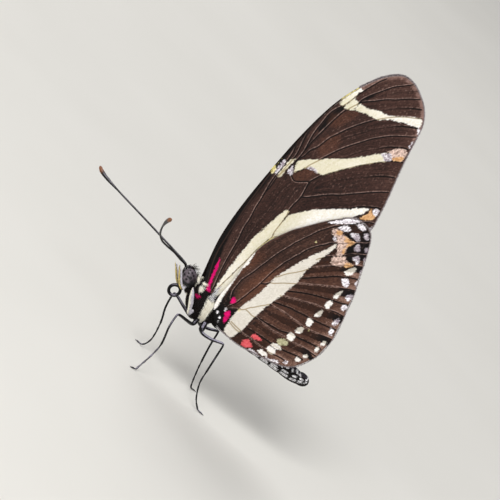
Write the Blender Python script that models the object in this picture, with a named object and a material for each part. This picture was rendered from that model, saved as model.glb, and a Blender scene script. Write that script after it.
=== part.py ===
"""A zebra longwing butterfly at rest with its wings closed over its back, life size.

Sizes here are in millimetres, and the last step turns every mesh into metres. The head points to -X,
the left side to -Y, and +Z is up. X is counted from beside the hind feet and Z from the floor, until
the last step sets the origin on the floor under the middle of the whole insect.
"""

import math

import bmesh
import bpy
from mathutils import Matrix, Vector
from mathutils.geometry import delaunay_2d_cdt

METRE = 0.001
GAP = 0.3
JOIN_GAP = GAP * 1.08
SIDES = (("left", -1), ("right", 1))

# Wings, as plates that stand for the membranes
WING_THICKNESS = 0.5
WING_MESH = 3.4
MARGIN_STEP = 1.5
VEIN_RISE = 0.12
VEIN_HALF_WIDTH = 0.24
VEIN_STEP = 2.4
VEIN_END_CLEAR = 0.45
MERGE_WITHIN = 0.01

# Body, with half sizes as (along, across, upright)
THORAX_CENTRE = Vector((-9.7, 0.0, 12.1))
THORAX_HALF = Vector((3.4, 1.9, 2.65))
THORAX_PITCH = math.radians(20)
HEAD_CENTRE = Vector((-14.0, 0.0, 13.9))
HEAD_HALF = Vector((1.0, 0.7, 1.25))
HEAD_PITCH = math.radians(-43)
EYE_HALF = Vector((1.02, 0.85, 1.38))
EYE_OFFSET = Vector((-0.05, 0.72, 0.05))
ABDOMEN_RADIUS = 1.15
ABDOMEN_SEGMENTS = 8
ABDOMEN_GROOVE = 0.05
ABDOMEN_FLATTEN = 0.9

# Head parts, placed in the head's own frame as (forward, across, up)
PALP_RADIUS = 0.34
COIL_CENTRE = (2.12, -2.12)
COIL_RADIUS = 0.84
COIL_TUBE = 0.25
MOUTH = (0.75, -0.95)
ANTENNA_RADIUS = 0.25
CLUB_RADIUS = 0.36
CLUB_SHARE = 0.2

# Legs
COXA_RADIUS = 0.48
FEMUR_RADIUS = 0.31
TIBIA_RADIUS = 0.26
TARSUS_RADIUS = 0.25
FOOT_RADIUS = 0.22
FORELEG_RADIUS = 0.32

BLACK = (0.012, 0.009, 0.009)
BROWN = (0.055, 0.032, 0.026)
DARK_EYE = (0.03, 0.018, 0.02)
CREAM = (0.72, 0.62, 0.34)


def clear_scene():
    for obj in list(bpy.data.objects):
        bpy.data.objects.remove(obj, do_unlink=True)
    for collection in list(bpy.data.collections):
        bpy.data.collections.remove(collection)


def new_collection(name):
    collection = bpy.data.collections.new(name)
    bpy.context.scene.collection.children.link(collection)
    return collection


def new_object(name, mesh, collection):
    obj = bpy.data.objects.new(name, mesh)
    collection.objects.link(obj)
    return obj


def paint(obj, colour, roughness):
    material = bpy.data.materials.new(obj.name)
    material.use_nodes = True
    shader = material.node_tree.nodes["Principled BSDF"]
    shader.inputs["Base Color"].default_value = (*colour, 1)
    shader.inputs["Roughness"].default_value = roughness
    shader.inputs["Metallic"].default_value = 0
    obj.data.materials.clear()
    obj.data.materials.append(material)


def smooth(points, step):
    """Points about one step apart on a smooth curve through the points given."""
    points = [Vector(p) for p in points]
    padded = [2 * points[0] - points[1], *points, 2 * points[-1] - points[-2]]
    found = []
    for a, b, c, d in zip(padded, padded[1:], padded[2:], padded[3:]):
        count = max(1, round((c - b).length / step))
        for i in range(count):
            t = i / count
            bend = (2 * a - 5 * b + 4 * c - d) * t + (3 * b - a - 3 * c + d) * t * t
            found.append(0.5 * (2 * b + (c - a) * t + bend * t))
    return [*found, points[-1]]


def apply_modifiers(obj):
    bpy.context.view_layer.update()
    graph = bpy.context.evaluated_depsgraph_get()
    mesh = bpy.data.meshes.new_from_object(obj.evaluated_get(graph))
    obj.modifiers.clear()
    obj.data = mesh


def keep_largest(obj):
    """Keeps only the largest closed surface of a mesh."""
    bm = bmesh.new()
    bm.from_mesh(obj.data)
    bmesh.ops.remove_doubles(bm, verts=bm.verts, dist=1e-5)
    bmesh.ops.triangulate(bm, faces=bm.faces)
    left = set(bm.faces)
    groups = []
    while left:
        front = [left.pop()]
        group = []
        while front:
            face = front.pop()
            group.append(face)
            for edge in face.edges:
                for other in edge.link_faces:
                    if other in left:
                        left.remove(other)
                        front.append(other)
        groups.append(group)
    groups.sort(key=lambda group: sum(face.calc_area() for face in group))
    scraps = [face for group in groups[:-1] for face in group]
    bmesh.ops.delete(bm, geom=scraps, context="FACES")
    bm.to_mesh(obj.data)
    bm.free()


def combine(obj, others, operation):
    """Joins the other objects to this one, or cuts them from it, and removes them."""
    group = bpy.data.collections.new("pieces")
    bpy.context.scene.collection.children.link(group)
    for other in others:
        group.objects.link(other)
    modifier = obj.modifiers.new(operation.lower(), "BOOLEAN")
    modifier.operation = operation
    modifier.solver = "EXACT"
    modifier.operand_type = "COLLECTION"
    modifier.collection = group
    apply_modifiers(obj)
    for other in others:
        bpy.data.objects.remove(other, do_unlink=True)
    bpy.data.collections.remove(group)
    keep_largest(obj)


def grown_copy(obj, by):
    """A cutter: a copy whose surface stands further out all round."""
    cutter = new_object("cutter_" + obj.name, obj.data.copy(), cutters)
    cutter.hide_render = True
    cutter.display_type = "WIRE"
    bm = bmesh.new()
    bm.from_mesh(cutter.data)
    bm.normal_update()
    places = [v.co + v.normal * by for v in bm.verts]
    for v, place in zip(bm.verts, places):
        v.co = place
    bm.to_mesh(cutter.data)
    bm.free()
    return cutter


def part_from(obj, *neighbours):
    """Cuts an object back from what it grows from, so that the two meet face to face."""
    combine(obj, [grown_copy(other, JOIN_GAP) for other in neighbours], "DIFFERENCE")


def egg(name, centre, half, pitch, rings, sides, taper=0.0):
    """An egg with its long axis along X before it pitches; taper narrows its front."""
    bm = bmesh.new()
    bmesh.ops.create_uvsphere(bm, u_segments=sides, v_segments=rings, radius=1)
    bmesh.ops.rotate(bm, verts=bm.verts, matrix=Matrix.Rotation(math.pi / 2, 3, "Y"))
    for v in bm.verts:
        narrow = 1 + taper * v.co.x
        v.co = Vector((v.co.x * half.x, v.co.y * half.y * narrow, v.co.z * half.z * narrow))
    turn = Matrix.Translation(centre) @ Matrix.Rotation(pitch, 4, "Y")
    bmesh.ops.transform(bm, verts=bm.verts, matrix=turn)
    bmesh.ops.triangulate(bm, faces=bm.faces)
    mesh = bpy.data.meshes.new(name)
    bm.to_mesh(mesh)
    bm.free()
    return new_object(name, mesh, butterfly)


def rod(name, points, radii, resolution=2):
    """A closed tube along points, with its own radius at each of them."""
    curve = bpy.data.curves.new(name, "CURVE")
    curve.dimensions = "3D"
    curve.bevel_depth = 1
    curve.bevel_resolution = resolution
    curve.use_fill_caps = True
    line = curve.splines.new("POLY")
    line.points.add(len(points) - 1)
    for at, place, radius in zip(line.points, points, radii):
        at.co = (*place, 1)
        at.radius = radius
    drawn = new_object(name + "_line", curve, cutters)
    bpy.context.view_layer.update()
    graph = bpy.context.evaluated_depsgraph_get()
    mesh = bpy.data.meshes.new_from_object(drawn.evaluated_get(graph))
    bpy.data.objects.remove(drawn, do_unlink=True)
    bm = bmesh.new()
    bm.from_mesh(mesh)
    bmesh.ops.remove_doubles(bm, verts=bm.verts, dist=1e-4)
    bmesh.ops.triangulate(bm, faces=bm.faces)
    bmesh.ops.recalc_face_normals(bm, faces=bm.faces)
    bm.to_mesh(mesh)
    bm.free()
    return new_object(name, mesh, butterfly)


def shares(points):
    """How far along its line each point lies, from 0 to 1."""
    along = [0.0]
    for a, b in zip(points, points[1:]):
        along.append(along[-1] + (b - a).length)
    return [s / along[-1] for s in along]


def blend(share, stops):
    """The value at a share of the way, between stops of (share, value)."""
    for (s0, v0), (s1, v1) in zip(stops, stops[1:]):
        if share <= s1:
            return v0 + (v1 - v0) * max(0.0, share - s0) / (s1 - s0)
    return stops[-1][1]


def cut_at_floor(obj):
    """Gives a foot its flat: what reaches under the floor comes off."""
    bm = bmesh.new()
    bm.from_mesh(obj.data)
    everything = [*bm.verts, *bm.edges, *bm.faces]
    cut = bmesh.ops.bisect_plane(
        bm, geom=everything, plane_co=(0, 0, 0), plane_no=(0, 0, 1), clear_inner=True
    )
    rim = [item for item in cut["geom_cut"] if isinstance(item, bmesh.types.BMEdge)]
    bmesh.ops.holes_fill(bm, edges=rim)
    bmesh.ops.triangulate(bm, faces=bm.faces)
    bm.to_mesh(obj.data)
    bm.free()


def in_head(forward, across, up):
    """A place in the head's own frame, as a place in the butterfly's."""
    turn = Matrix.Rotation(HEAD_PITCH, 3, "Y")
    return HEAD_CENTRE + turn @ Vector((-forward, across, up))


def build_thorax():
    return egg("thorax", THORAX_CENTRE, THORAX_HALF, THORAX_PITCH, 14, 22, taper=0.06)


def build_head():
    return egg("head", HEAD_CENTRE, HEAD_HALF, HEAD_PITCH, 12, 16)


def build_eye(name, side):
    place = in_head(EYE_OFFSET.x, side * EYE_OFFSET.y, EYE_OFFSET.z)
    return egg(name, place, EYE_HALF, HEAD_PITCH, 10, 16)


def build_abdomen():
    """Eight rings that swell and narrow a little between shallow grooves."""
    line = smooth([(-7.4, 0, 11.5), (-3.0, 0, 11.6), (3.0, 0, 11.95), (7.4, 0, 12.15), (10.1, 0, 12.55)], 0.55)
    radii = []
    for share in shares(line):
        width = blend(share, [(0, 0.86), (0.25, 1), (0.83, 1.02), (0.92, 0.9), (0.975, 0.66), (1, 0.36)])
        groove = abs(math.cos(math.pi * ABDOMEN_SEGMENTS * share)) ** 6
        radii.append(ABDOMEN_RADIUS * width * (1 - ABDOMEN_GROOVE * groove))
    obj = rod("abdomen", line, radii, resolution=4)
    obj.data.transform(Matrix.Diagonal((1, ABDOMEN_FLATTEN, 1, 1)))
    return obj


def build_palp(name, side):
    spine = [(0.6, 0.3, -1.1), (1.35, 0.45, -1.3), (1.62, 0.6, -0.4), (1.5, 0.72, 0.6), (1.35, 0.85, 1.75)]
    line = smooth([in_head(f, side * y, h) for f, y, h in spine], 0.4)
    stops = [(0, 0.75), (0.35, 1), (0.75, 0.85), (1, 0.4)]
    return rod(name, line, [PALP_RADIUS * blend(share, stops) for share in shares(line)])


def build_proboscis():
    """One turn of the coiled tube under the face, from the mouth round the front."""
    turns = [math.radians(120 - 17.5 * i) for i in range(18)]
    ring = [
        (COIL_CENTRE[0] + COIL_RADIUS * math.cos(t), COIL_CENTRE[1] + COIL_RADIUS * math.sin(t))
        for t in turns
    ]
    line = [in_head(f, 0, h) for f, h in (MOUTH, *ring)]
    radii = [COIL_TUBE * blend(share, [(0, 1), (0.8, 1), (1, 0.8)]) for share in shares(line)]
    return rod("proboscis", line, radii)


def build_antenna(name, spine):
    """A thin shaft from the top of the head that thickens to a club."""
    root = in_head(0.35, spine[0][1], 0.6)
    base = in_head(*spine[0])
    line = smooth([root, base, *(base + Vector(step) for step in spine[1:])], 1.1)
    stops = [(0, 1), (1 - CLUB_SHARE, 1), (1 - CLUB_SHARE / 3, CLUB_RADIUS / ANTENNA_RADIUS), (1, 0.8)]
    return rod(name, line, [ANTENNA_RADIUS * blend(share, stops) for share in shares(line)])


def build_walking_leg(name, coxa, femur, tibia, tarsus):
    """Coxa under the thorax, femur out to the knee, tibia down, and a tarsus on its tip."""
    line = [*coxa, *femur, *tibia, *tarsus]
    radii = [COXA_RADIUS] * len(coxa) + [FEMUR_RADIUS] * len(femur) + [TIBIA_RADIUS] * len(tibia)
    radii += [TARSUS_RADIUS] * (len(tarsus) - 2) + [FOOT_RADIUS] * 2
    obj = rod(name, [Vector(p) for p in line], radii)
    cut_at_floor(obj)
    return obj


def build_folded_foreleg(name, side):
    """The small front leg of a brush-footed butterfly, folded against the chest."""
    spine = [(-10.4, 1.15, 10.6), (-10.9, 1.75, 10.1), (-11.5, 2.05, 11.1), (-12.15, 1.85, 12.2)]
    spine.append((-12.75, 1.5, 13.15))
    line = smooth([(x, side * y, z) for x, y, z in spine], 0.5)
    stops = [(0, 0.9), (0.5, 1), (0.8, 0.8), (1, 0.45)]
    return rod(name, line, [FORELEG_RADIUS * blend(share, stops) for share in shares(line)])


def ease(value, start, end):
    t = min(1.0, max(0.0, (value - start) / (end - start)))
    return t * t * (3 - 2 * t)


def forewing_lie(x, z):
    """How far the forewing's middle stands from the body's plane: apart at the root, close above."""
    return 1.3 - 0.9 * ease(z, 13.6, 19.5)


def hindwing_lie(x, z):
    """The hindwing lies outside the forewing, and stands out round the abdomen."""
    return 1.95 - 0.65 * ease(z, 14.2, 22.0) - 0.15 * ease(14.0 - z, 0.0, 2.5)


FOREWING_OUTLINE = (
    (-11.75, 13.6), (-12.5, 15.5), (-14.25, 20.4), (-15.2, 26.0), (-15.7, 33.0), (-15.9, 40.0),
    (-15.55, 46.2), (-14.45, 50.7), (-12.95, 53.9), (-11.25, 55.75), (-9.8, 56.15), (-8.0, 55.8),
    (-5.6, 54.45), (-3.95, 52.5), (-2.95, 49.5), (-2.15, 46.7), (-1.2, 43.8), (-0.15, 40.8),
    (0.6, 38.2), (1.1, 35.8), (0.2, 33.0), (-2.6, 27.6), (-5.6, 21.8), (-8.3, 16.8), (-9.4, 14.0),
    (-10.4, 12.8), (-11.3, 12.9),
)
HINDWING_OUTLINE = (
    (-8.9, 13.3), (-9.3, 15.4), (-9.2, 18.4), (-9.5, 21.6), (-9.3, 25.0), (-8.0, 28.1), (-5.8, 31.7),
    (-3.3, 34.75), (-1.6, 36.0), (0.5, 35.95), (1.95, 34.8), (3.4, 32.35), (4.6, 29.75), (5.9, 27.0),
    (6.8, 24.4), (7.9, 21.0), (8.1, 18.9), (7.9, 17.0), (6.9, 14.5), (5.7, 13.1), (4.0, 12.3),
    (1.0, 11.6), (-2.0, 11.0), (-4.6, 11.0), (-6.2, 11.2), (-7.6, 11.8),
)
# Each vein starts at the root or at a point of the vein that it leaves
FOREWING_VEINS = {
    "subcosta": ((-11.4, 14.6), (-13.7, 22.6), (-14.6, 28.8), (-15.0, 34.0), (-15.15, 38.5)),
    "radius": (
        (-11.0, 14.1), (-13.0, 23.0), (-13.9, 30.0), (-14.15, 34.0), (-14.2, 37.2), (-14.3, 41.3),
        (-14.2, 45.8), (-13.7, 48.2), (-13.1, 50.0), (-12.2, 51.9), (-10.9, 54.0), (-9.4, 56.0),
    ),
    "first branch of the radius": ((-14.2, 45.8), (-14.0, 48.2), (-13.6, 50.4), (-12.9, 53.0)),
    "last branch of the radius": (
        (-13.7, 48.2), (-12.7, 49.6), (-11.0, 51.3), (-9.2, 53.1), (-6.8, 55.0),
    ),
    "cubitus": (
        (-9.9, 14.4), (-10.0, 18.3), (-9.5, 21.9), (-9.1, 26.2), (-9.7, 29.8), (-9.9, 33.4), (-10.6, 35.7),
    ),
    "end of the cell": (
        (-10.6, 35.7), (-11.7, 35.0), (-12.6, 34.3), (-13.4, 35.1), (-14.0, 36.1), (-14.2, 37.2),
    ),
    "first median": (
        (-14.2, 37.2), (-13.5, 40.6), (-12.1, 44.1), (-11.1, 46.6), (-9.6, 49.1), (-7.4, 51.1), (-4.7, 52.9),
    ),
    "second median": (
        (-13.4, 35.1), (-12.7, 37.8), (-10.5, 42.3), (-9.2, 44.5), (-7.3, 47.2), (-5.2, 49.4), (-3.6, 50.6),
    ),
    "third median": ((-10.6, 35.7), (-9.1, 39.2), (-6.6, 42.5), (-4.2, 45.2), (-2.6, 46.5)),
    "first cubital": ((-9.9, 33.4), (-7.6, 36.0), (-4.7, 38.5), (-1.9, 41.2), (-0.7, 42.1)),
    "second cubital": ((-9.7, 29.8), (-8.5, 32.1), (-6.2, 34.4), (-2.3, 38.3), (0.0, 39.8)),
}
HINDWING_VEINS = {
    "subcosta": (
        (-6.6, 14.1), (-7.8, 16.3), (-8.0, 20.2), (-7.1, 24.8), (-5.5, 29.6), (-3.6, 33.5), (-2.7, 34.6),
    ),
    "radius": (
        (-6.6, 14.1), (-5.9, 18.9), (-5.6, 20.1), (-5.2, 24.8), (-4.5, 27.4), (-3.5, 29.5), (-1.8, 31.5),
        (2.1, 34.4),
    ),
    "cross vein": ((-5.6, 20.1), (-5.3, 20.6), (-5.0, 21.1)),
    "first median": ((-2.5, 25.3), (-1.9, 27.4), (-1.2, 29.2), (0.8, 31.3), (3.1, 32.9)),
    "second median": (
        (-5.0, 21.1), (-3.8, 23.3), (-2.5, 25.3), (-1.5, 26.7), (0.3, 28.6), (2.5, 30.3), (4.0, 31.5),
    ),
    "third median": ((-5.0, 21.1), (-3.0, 22.4), (-1.2, 23.7), (1.8, 25.8), (5.6, 27.9)),
    "stem": ((-6.6, 14.1), (-5.9, 14.6), (-5.1, 15.1)),
    "first cubital": ((-2.8, 18.4), (-2.2, 20.6), (-0.3, 21.6), (2.8, 22.5), (6.7, 23.9)),
    "second cubital": (
        (-5.1, 15.1), (-3.8, 17.3), (-2.8, 18.4), (-0.8, 18.7), (2.7, 19.4), (6.4, 20.3), (8.0, 20.2),
    ),
    "first anal": ((-5.1, 15.1), (-3.0, 15.6), (0.2, 15.8), (3.4, 16.3), (7.7, 16.9)),
    "second anal": ((-6.6, 14.1), (-5.4, 12.9), (-3.2, 12.6), (-0.2, 13.2), (2.8, 13.7), (5.8, 14.4)),
}


def away(point, line):
    """How far a point lies from a line of points."""
    least = math.inf
    for a, b in zip(line, line[1:]):
        run = b - a
        share = min(1.0, max(0.0, (point - a).dot(run) / run.length_squared))
        least = min(least, (point - a - run * share).length)
    return least


def inside(point, loop):
    """Whether a point lies inside a closed loop of points."""
    hits = 0
    for a, b in zip(loop, loop[1:]):
        if (a.y > point.y) != (b.y > point.y):
            hits += point.x < a.x + (b.x - a.x) * (point.y - a.y) / (b.y - a.y)
    return hits % 2 == 1


def crest_of(vein, rim):
    """The top line of a vein's ridge, which stops a little inside the rim."""
    found = []
    for point in smooth(vein, VEIN_STEP):
        if inside(point, rim) and away(point, rim) > VEIN_END_CLEAR:
            found.append(point)
    return found


def foot_of(crest, way):
    """The line on one side of a crest where its ridge meets the wing."""
    found = [crest[0]]
    for a, b, c in zip(crest, crest[1:], crest[2:]):
        found.append(b + (c - a).orthogonal().normalized() * way * VEIN_HALF_WIDTH)
    return [*found, crest[-1]]


def spread_points(rim, crests):
    """An even spread of points inside a rim, a little way off it and off the veins."""
    lows = [min(p[k] for p in rim) for k in (0, 1)]
    highs = [max(p[k] for p in rim) for k in (0, 1)]
    found = []
    for row in range(1, int((highs[1] - lows[1]) / WING_MESH) + 1):
        for column in range(int((highs[0] - lows[0]) / WING_MESH) + 1):
            x = lows[0] + (column + 0.5 * (row % 2)) * WING_MESH
            point = Vector((x, lows[1] + row * WING_MESH))
            clear = min(away(point, line) for line in (rim, *crests))
            if inside(point, rim) and clear > 0.35 * WING_MESH:
                found.append(point)
    return found


def wing_plate(name, side, outline, veins, lie):
    """A curved plate whose two faces are split into the same triangles, with veins raised outside."""
    rim = smooth([*outline, outline[0]], MARGIN_STEP)
    crests = [crest_of(vein, rim) for vein in veins.values()]
    lines = [rim]
    for crest in crests:
        lines += [crest, foot_of(crest, -1), foot_of(crest, 1)]
    points = []
    edges = []
    for line in lines:
        first = len(points)
        points += line
        edges += [(first + i, first + i + 1) for i in range(len(line) - 1)]
    points += spread_points(rim, crests)
    points, _, faces, *_ = delaunay_2d_cdt(points, edges, [], 1, MERGE_WITHIN)
    bm = bmesh.new()
    outer_face = []
    inner_face = []
    for point in points:
        x, z = point
        middle = lie(x, z)
        top = max(0.0, 1 - min(away(point, crest) for crest in crests) / VEIN_HALF_WIDTH)
        rise = VEIN_RISE * top * ease(away(point, rim), 0.2, 0.7)
        outer_face.append(bm.verts.new((x, side * (middle + WING_THICKNESS / 2 + rise), z)))
        inner_face.append(bm.verts.new((x, side * (middle - WING_THICKNESS / 2), z)))
    for face in faces:
        bm.faces.new([outer_face[i] for i in face])
        bm.faces.new([inner_face[i] for i in reversed(face)])
    where = {v: i for i, v in enumerate(outer_face)}
    for edge in [e for e in bm.edges if len(e.link_faces) == 1 and e.verts[0] in where]:
        a, b = (where[v] for v in edge.verts)
        bm.faces.new([outer_face[a], outer_face[b], inner_face[b]])
        bm.faces.new([outer_face[a], inner_face[b], inner_face[a]])
    bmesh.ops.recalc_face_normals(bm, faces=bm.faces)
    mesh = bpy.data.meshes.new(name)
    bm.to_mesh(mesh)
    bm.free()
    return new_object(name, mesh, butterfly)


clear_scene()
butterfly = new_collection("zebra_longwing")
cutters = new_collection("cutters")
cutters.hide_render = True

head = build_head()
thorax = build_thorax()
part_from(thorax, head)
paint(head, BLACK, 0.7)
paint(thorax, BLACK, 0.8)

abdomen = build_abdomen()
part_from(abdomen, thorax)
paint(abdomen, BROWN, 0.8)

for word, side in SIDES:
    eye = build_eye("eye_" + word, side)
    part_from(eye, head, thorax)
    paint(eye, DARK_EYE, 0.25)

    palp = build_palp("palp_" + word, side)
    part_from(palp, head, eye)
    paint(palp, CREAM, 0.8)

    foreleg = build_folded_foreleg("foreleg_" + word, side)
    part_from(foreleg, thorax, head, eye)
    paint(foreleg, CREAM, 0.7)

    for wing_name, outline, veins, lie in (
        ("forewing_" + word, FOREWING_OUTLINE, FOREWING_VEINS, forewing_lie),
        ("hindwing_" + word, HINDWING_OUTLINE, HINDWING_VEINS, hindwing_lie),
    ):
        wing = wing_plate(wing_name, side, outline, veins, lie)
        part_from(wing, thorax)
        paint(wing, BROWN, 0.7)

proboscis = build_proboscis()
part_from(proboscis, head, bpy.data.objects["palp_left"], bpy.data.objects["palp_right"])
paint(proboscis, BLACK, 0.3)

ANTENNAE = {
    "antenna_left": (
        (0.5, -0.42, 1.85), (-1.59, -1.18, 0.46), (-3.07, -2.18, 0.91), (-4.94, -3.68, 1.32), (-6.47, -5.08, 1.78),
        (-7.57, -6.38, 2.46), (-8.38, -7.58, 3.24), (-9.1, -8.98, 4.29), (-9.63, -10.48, 5.4), (-9.91, -11.68, 6.19),
        (-10.07, -12.75, 6.78),
    ),
    "antenna_right": (
        (0.5, 0.42, 1.85), (-1.9, 1.3, 0.1), (-3.9, 2.7, 0.1), (-7.0, 4.95, 0.1), (-10.8, 7.5, 0.1),
        (-13.9, 9.5, 0.15), (-15.3, 10.3, 0.35), (-15.95, 10.8, 0.7),
    ),
}
for name, spine in ANTENNAE.items():
    antenna = build_antenna(name, spine)
    word = name.split("_")[1]
    part_from(antenna, head, bpy.data.objects["eye_" + word])
    paint(antenna, BLACK, 0.4)

LEGS = {
    "midleg_left": (
        ((-8.9, -0.8, 10.3), (-9.0, -1.25, 9.2)),
        ((-9.4, -1.6, 9.0), (-10.5, -2.8, 9.25), (-12.4, -4.2, 9.55)),
        ((-12.75, -4.6, 9.2), (-12.6, -5.2, 7.4), (-11.95, -5.8, 5.1)),
        ((-12.0, -6.3, 3.2), (-12.5, -7.1, 0.9), (-12.75, -7.45, 0.22), (-13.5, -7.8, 0.18)),
    ),
    "midleg_right": (
        ((-8.9, 0.8, 10.3), (-9.0, 1.25, 9.2)),
        ((-9.4, 1.7, 9.0), (-10.6, 2.8, 9.2), (-12.2, 3.8, 9.6)),
        ((-12.55, 4.1, 9.3), (-11.9, 4.6, 7.0), (-10.75, 5.0, 4.7)),
        ((-10.0, 5.2, 2.1), (-10.1, 5.3, 0.8), (-10.5, 5.45, 0.22), (-11.3, 5.7, 0.18)),
    ),
    "hindleg_left": (
        ((-7.7, -0.8, 10.2), (-7.5, -1.3, 9.2)),
        ((-7.0, -1.6, 8.9), (-5.7, -2.2, 9.2), (-4.3, -2.6, 9.8)),
        ((-3.95, -2.75, 9.6), (-3.7, -3.0, 8.0), (-3.3, -3.3, 5.4)),
        ((-2.95, -3.6, 3.4), (-1.9, -3.75, 1.5), (-0.9, -3.8, 0.5), (-0.35, -3.85, 0.2), (0.4, -3.95, 0.18)),
    ),
    "hindleg_right": (
        ((-7.7, 0.8, 10.2), (-7.5, 1.3, 9.2)),
        ((-7.0, 1.6, 8.9), (-5.6, 2.2, 9.1), (-4.3, 2.7, 9.5)),
        ((-4.0, 2.85, 9.3), (-3.5, 3.1, 7.2), (-2.7, 3.4, 4.5)),
        ((-2.0, 3.5, 2.4), (-1.4, 3.6, 0.9), (-1.0, 3.65, 0.22), (-0.2, 3.8, 0.18)),
    ),
}
for name, (coxa, femur, tibia, tarsus) in LEGS.items():
    leg = build_walking_leg(name, coxa, femur, tibia, tarsus)
    part_from(leg, thorax)
    paint(leg, BLACK, 0.5)

bpy.data.collections.remove(cutters)
corners = [v.co for obj in butterfly.objects for v in obj.data.vertices]
low = [min(corner[k] for corner in corners) for k in range(3)]
high = [max(corner[k] for corner in corners) for k in range(3)]
origin = Vector(((low[0] + high[0]) / 2, (low[1] + high[1]) / 2, 0))
to_metres = Matrix.Scale(METRE, 4) @ Matrix.Translation(-origin)
for obj in butterfly.objects:
    obj.data.transform(to_metres)
    obj.data.shade_smooth()
    obj.data.set_sharp_from_angle(angle=math.radians(35))
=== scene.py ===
import math

import bpy
import numpy as np
from mathutils import Matrix, Vector
from mathutils.geometry import delaunay_2d_cdt


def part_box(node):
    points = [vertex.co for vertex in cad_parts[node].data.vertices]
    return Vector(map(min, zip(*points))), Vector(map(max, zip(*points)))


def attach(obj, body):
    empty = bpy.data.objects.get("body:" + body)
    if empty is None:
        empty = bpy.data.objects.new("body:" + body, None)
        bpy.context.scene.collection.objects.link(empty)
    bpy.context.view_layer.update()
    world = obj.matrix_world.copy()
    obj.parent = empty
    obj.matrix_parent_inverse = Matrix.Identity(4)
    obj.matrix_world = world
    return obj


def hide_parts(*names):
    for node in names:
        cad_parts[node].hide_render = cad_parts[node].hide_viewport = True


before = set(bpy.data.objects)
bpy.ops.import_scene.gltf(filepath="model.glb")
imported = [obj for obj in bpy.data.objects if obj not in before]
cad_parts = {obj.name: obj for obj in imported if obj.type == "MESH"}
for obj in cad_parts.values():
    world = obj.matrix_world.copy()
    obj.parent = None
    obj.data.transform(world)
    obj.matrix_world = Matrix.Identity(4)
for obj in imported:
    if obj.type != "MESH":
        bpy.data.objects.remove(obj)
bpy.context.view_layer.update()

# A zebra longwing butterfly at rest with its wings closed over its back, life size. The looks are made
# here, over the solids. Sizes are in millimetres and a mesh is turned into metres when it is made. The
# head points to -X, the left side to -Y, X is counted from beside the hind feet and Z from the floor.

HEAD_CENTRE = Vector((-14.0, 0.0, 13.9))
STANCE_ORIGIN = HEAD_CENTRE - (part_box("head")[0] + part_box("head")[1]) * 500
SIDES = (("left", -1), ("right", 1))


# Forewings: each is one membrane of chitin, as thin as paper, stiffened by veins that fan out from the
# root, and covered on both faces by flat scales that carry the colours. The mesh is cut along the
# margin and the veins, and every mark is a distance in millimetres that the finish turns into an edge.

WING_THICKNESS = 0.07
WING_MESH = 0.17
VEIN_HALF_WIDTH = 0.12
VEIN_RISE = 0.035
NOT_HERE = -9.0  # how deep a point lies in a mark that is nowhere near it

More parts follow.
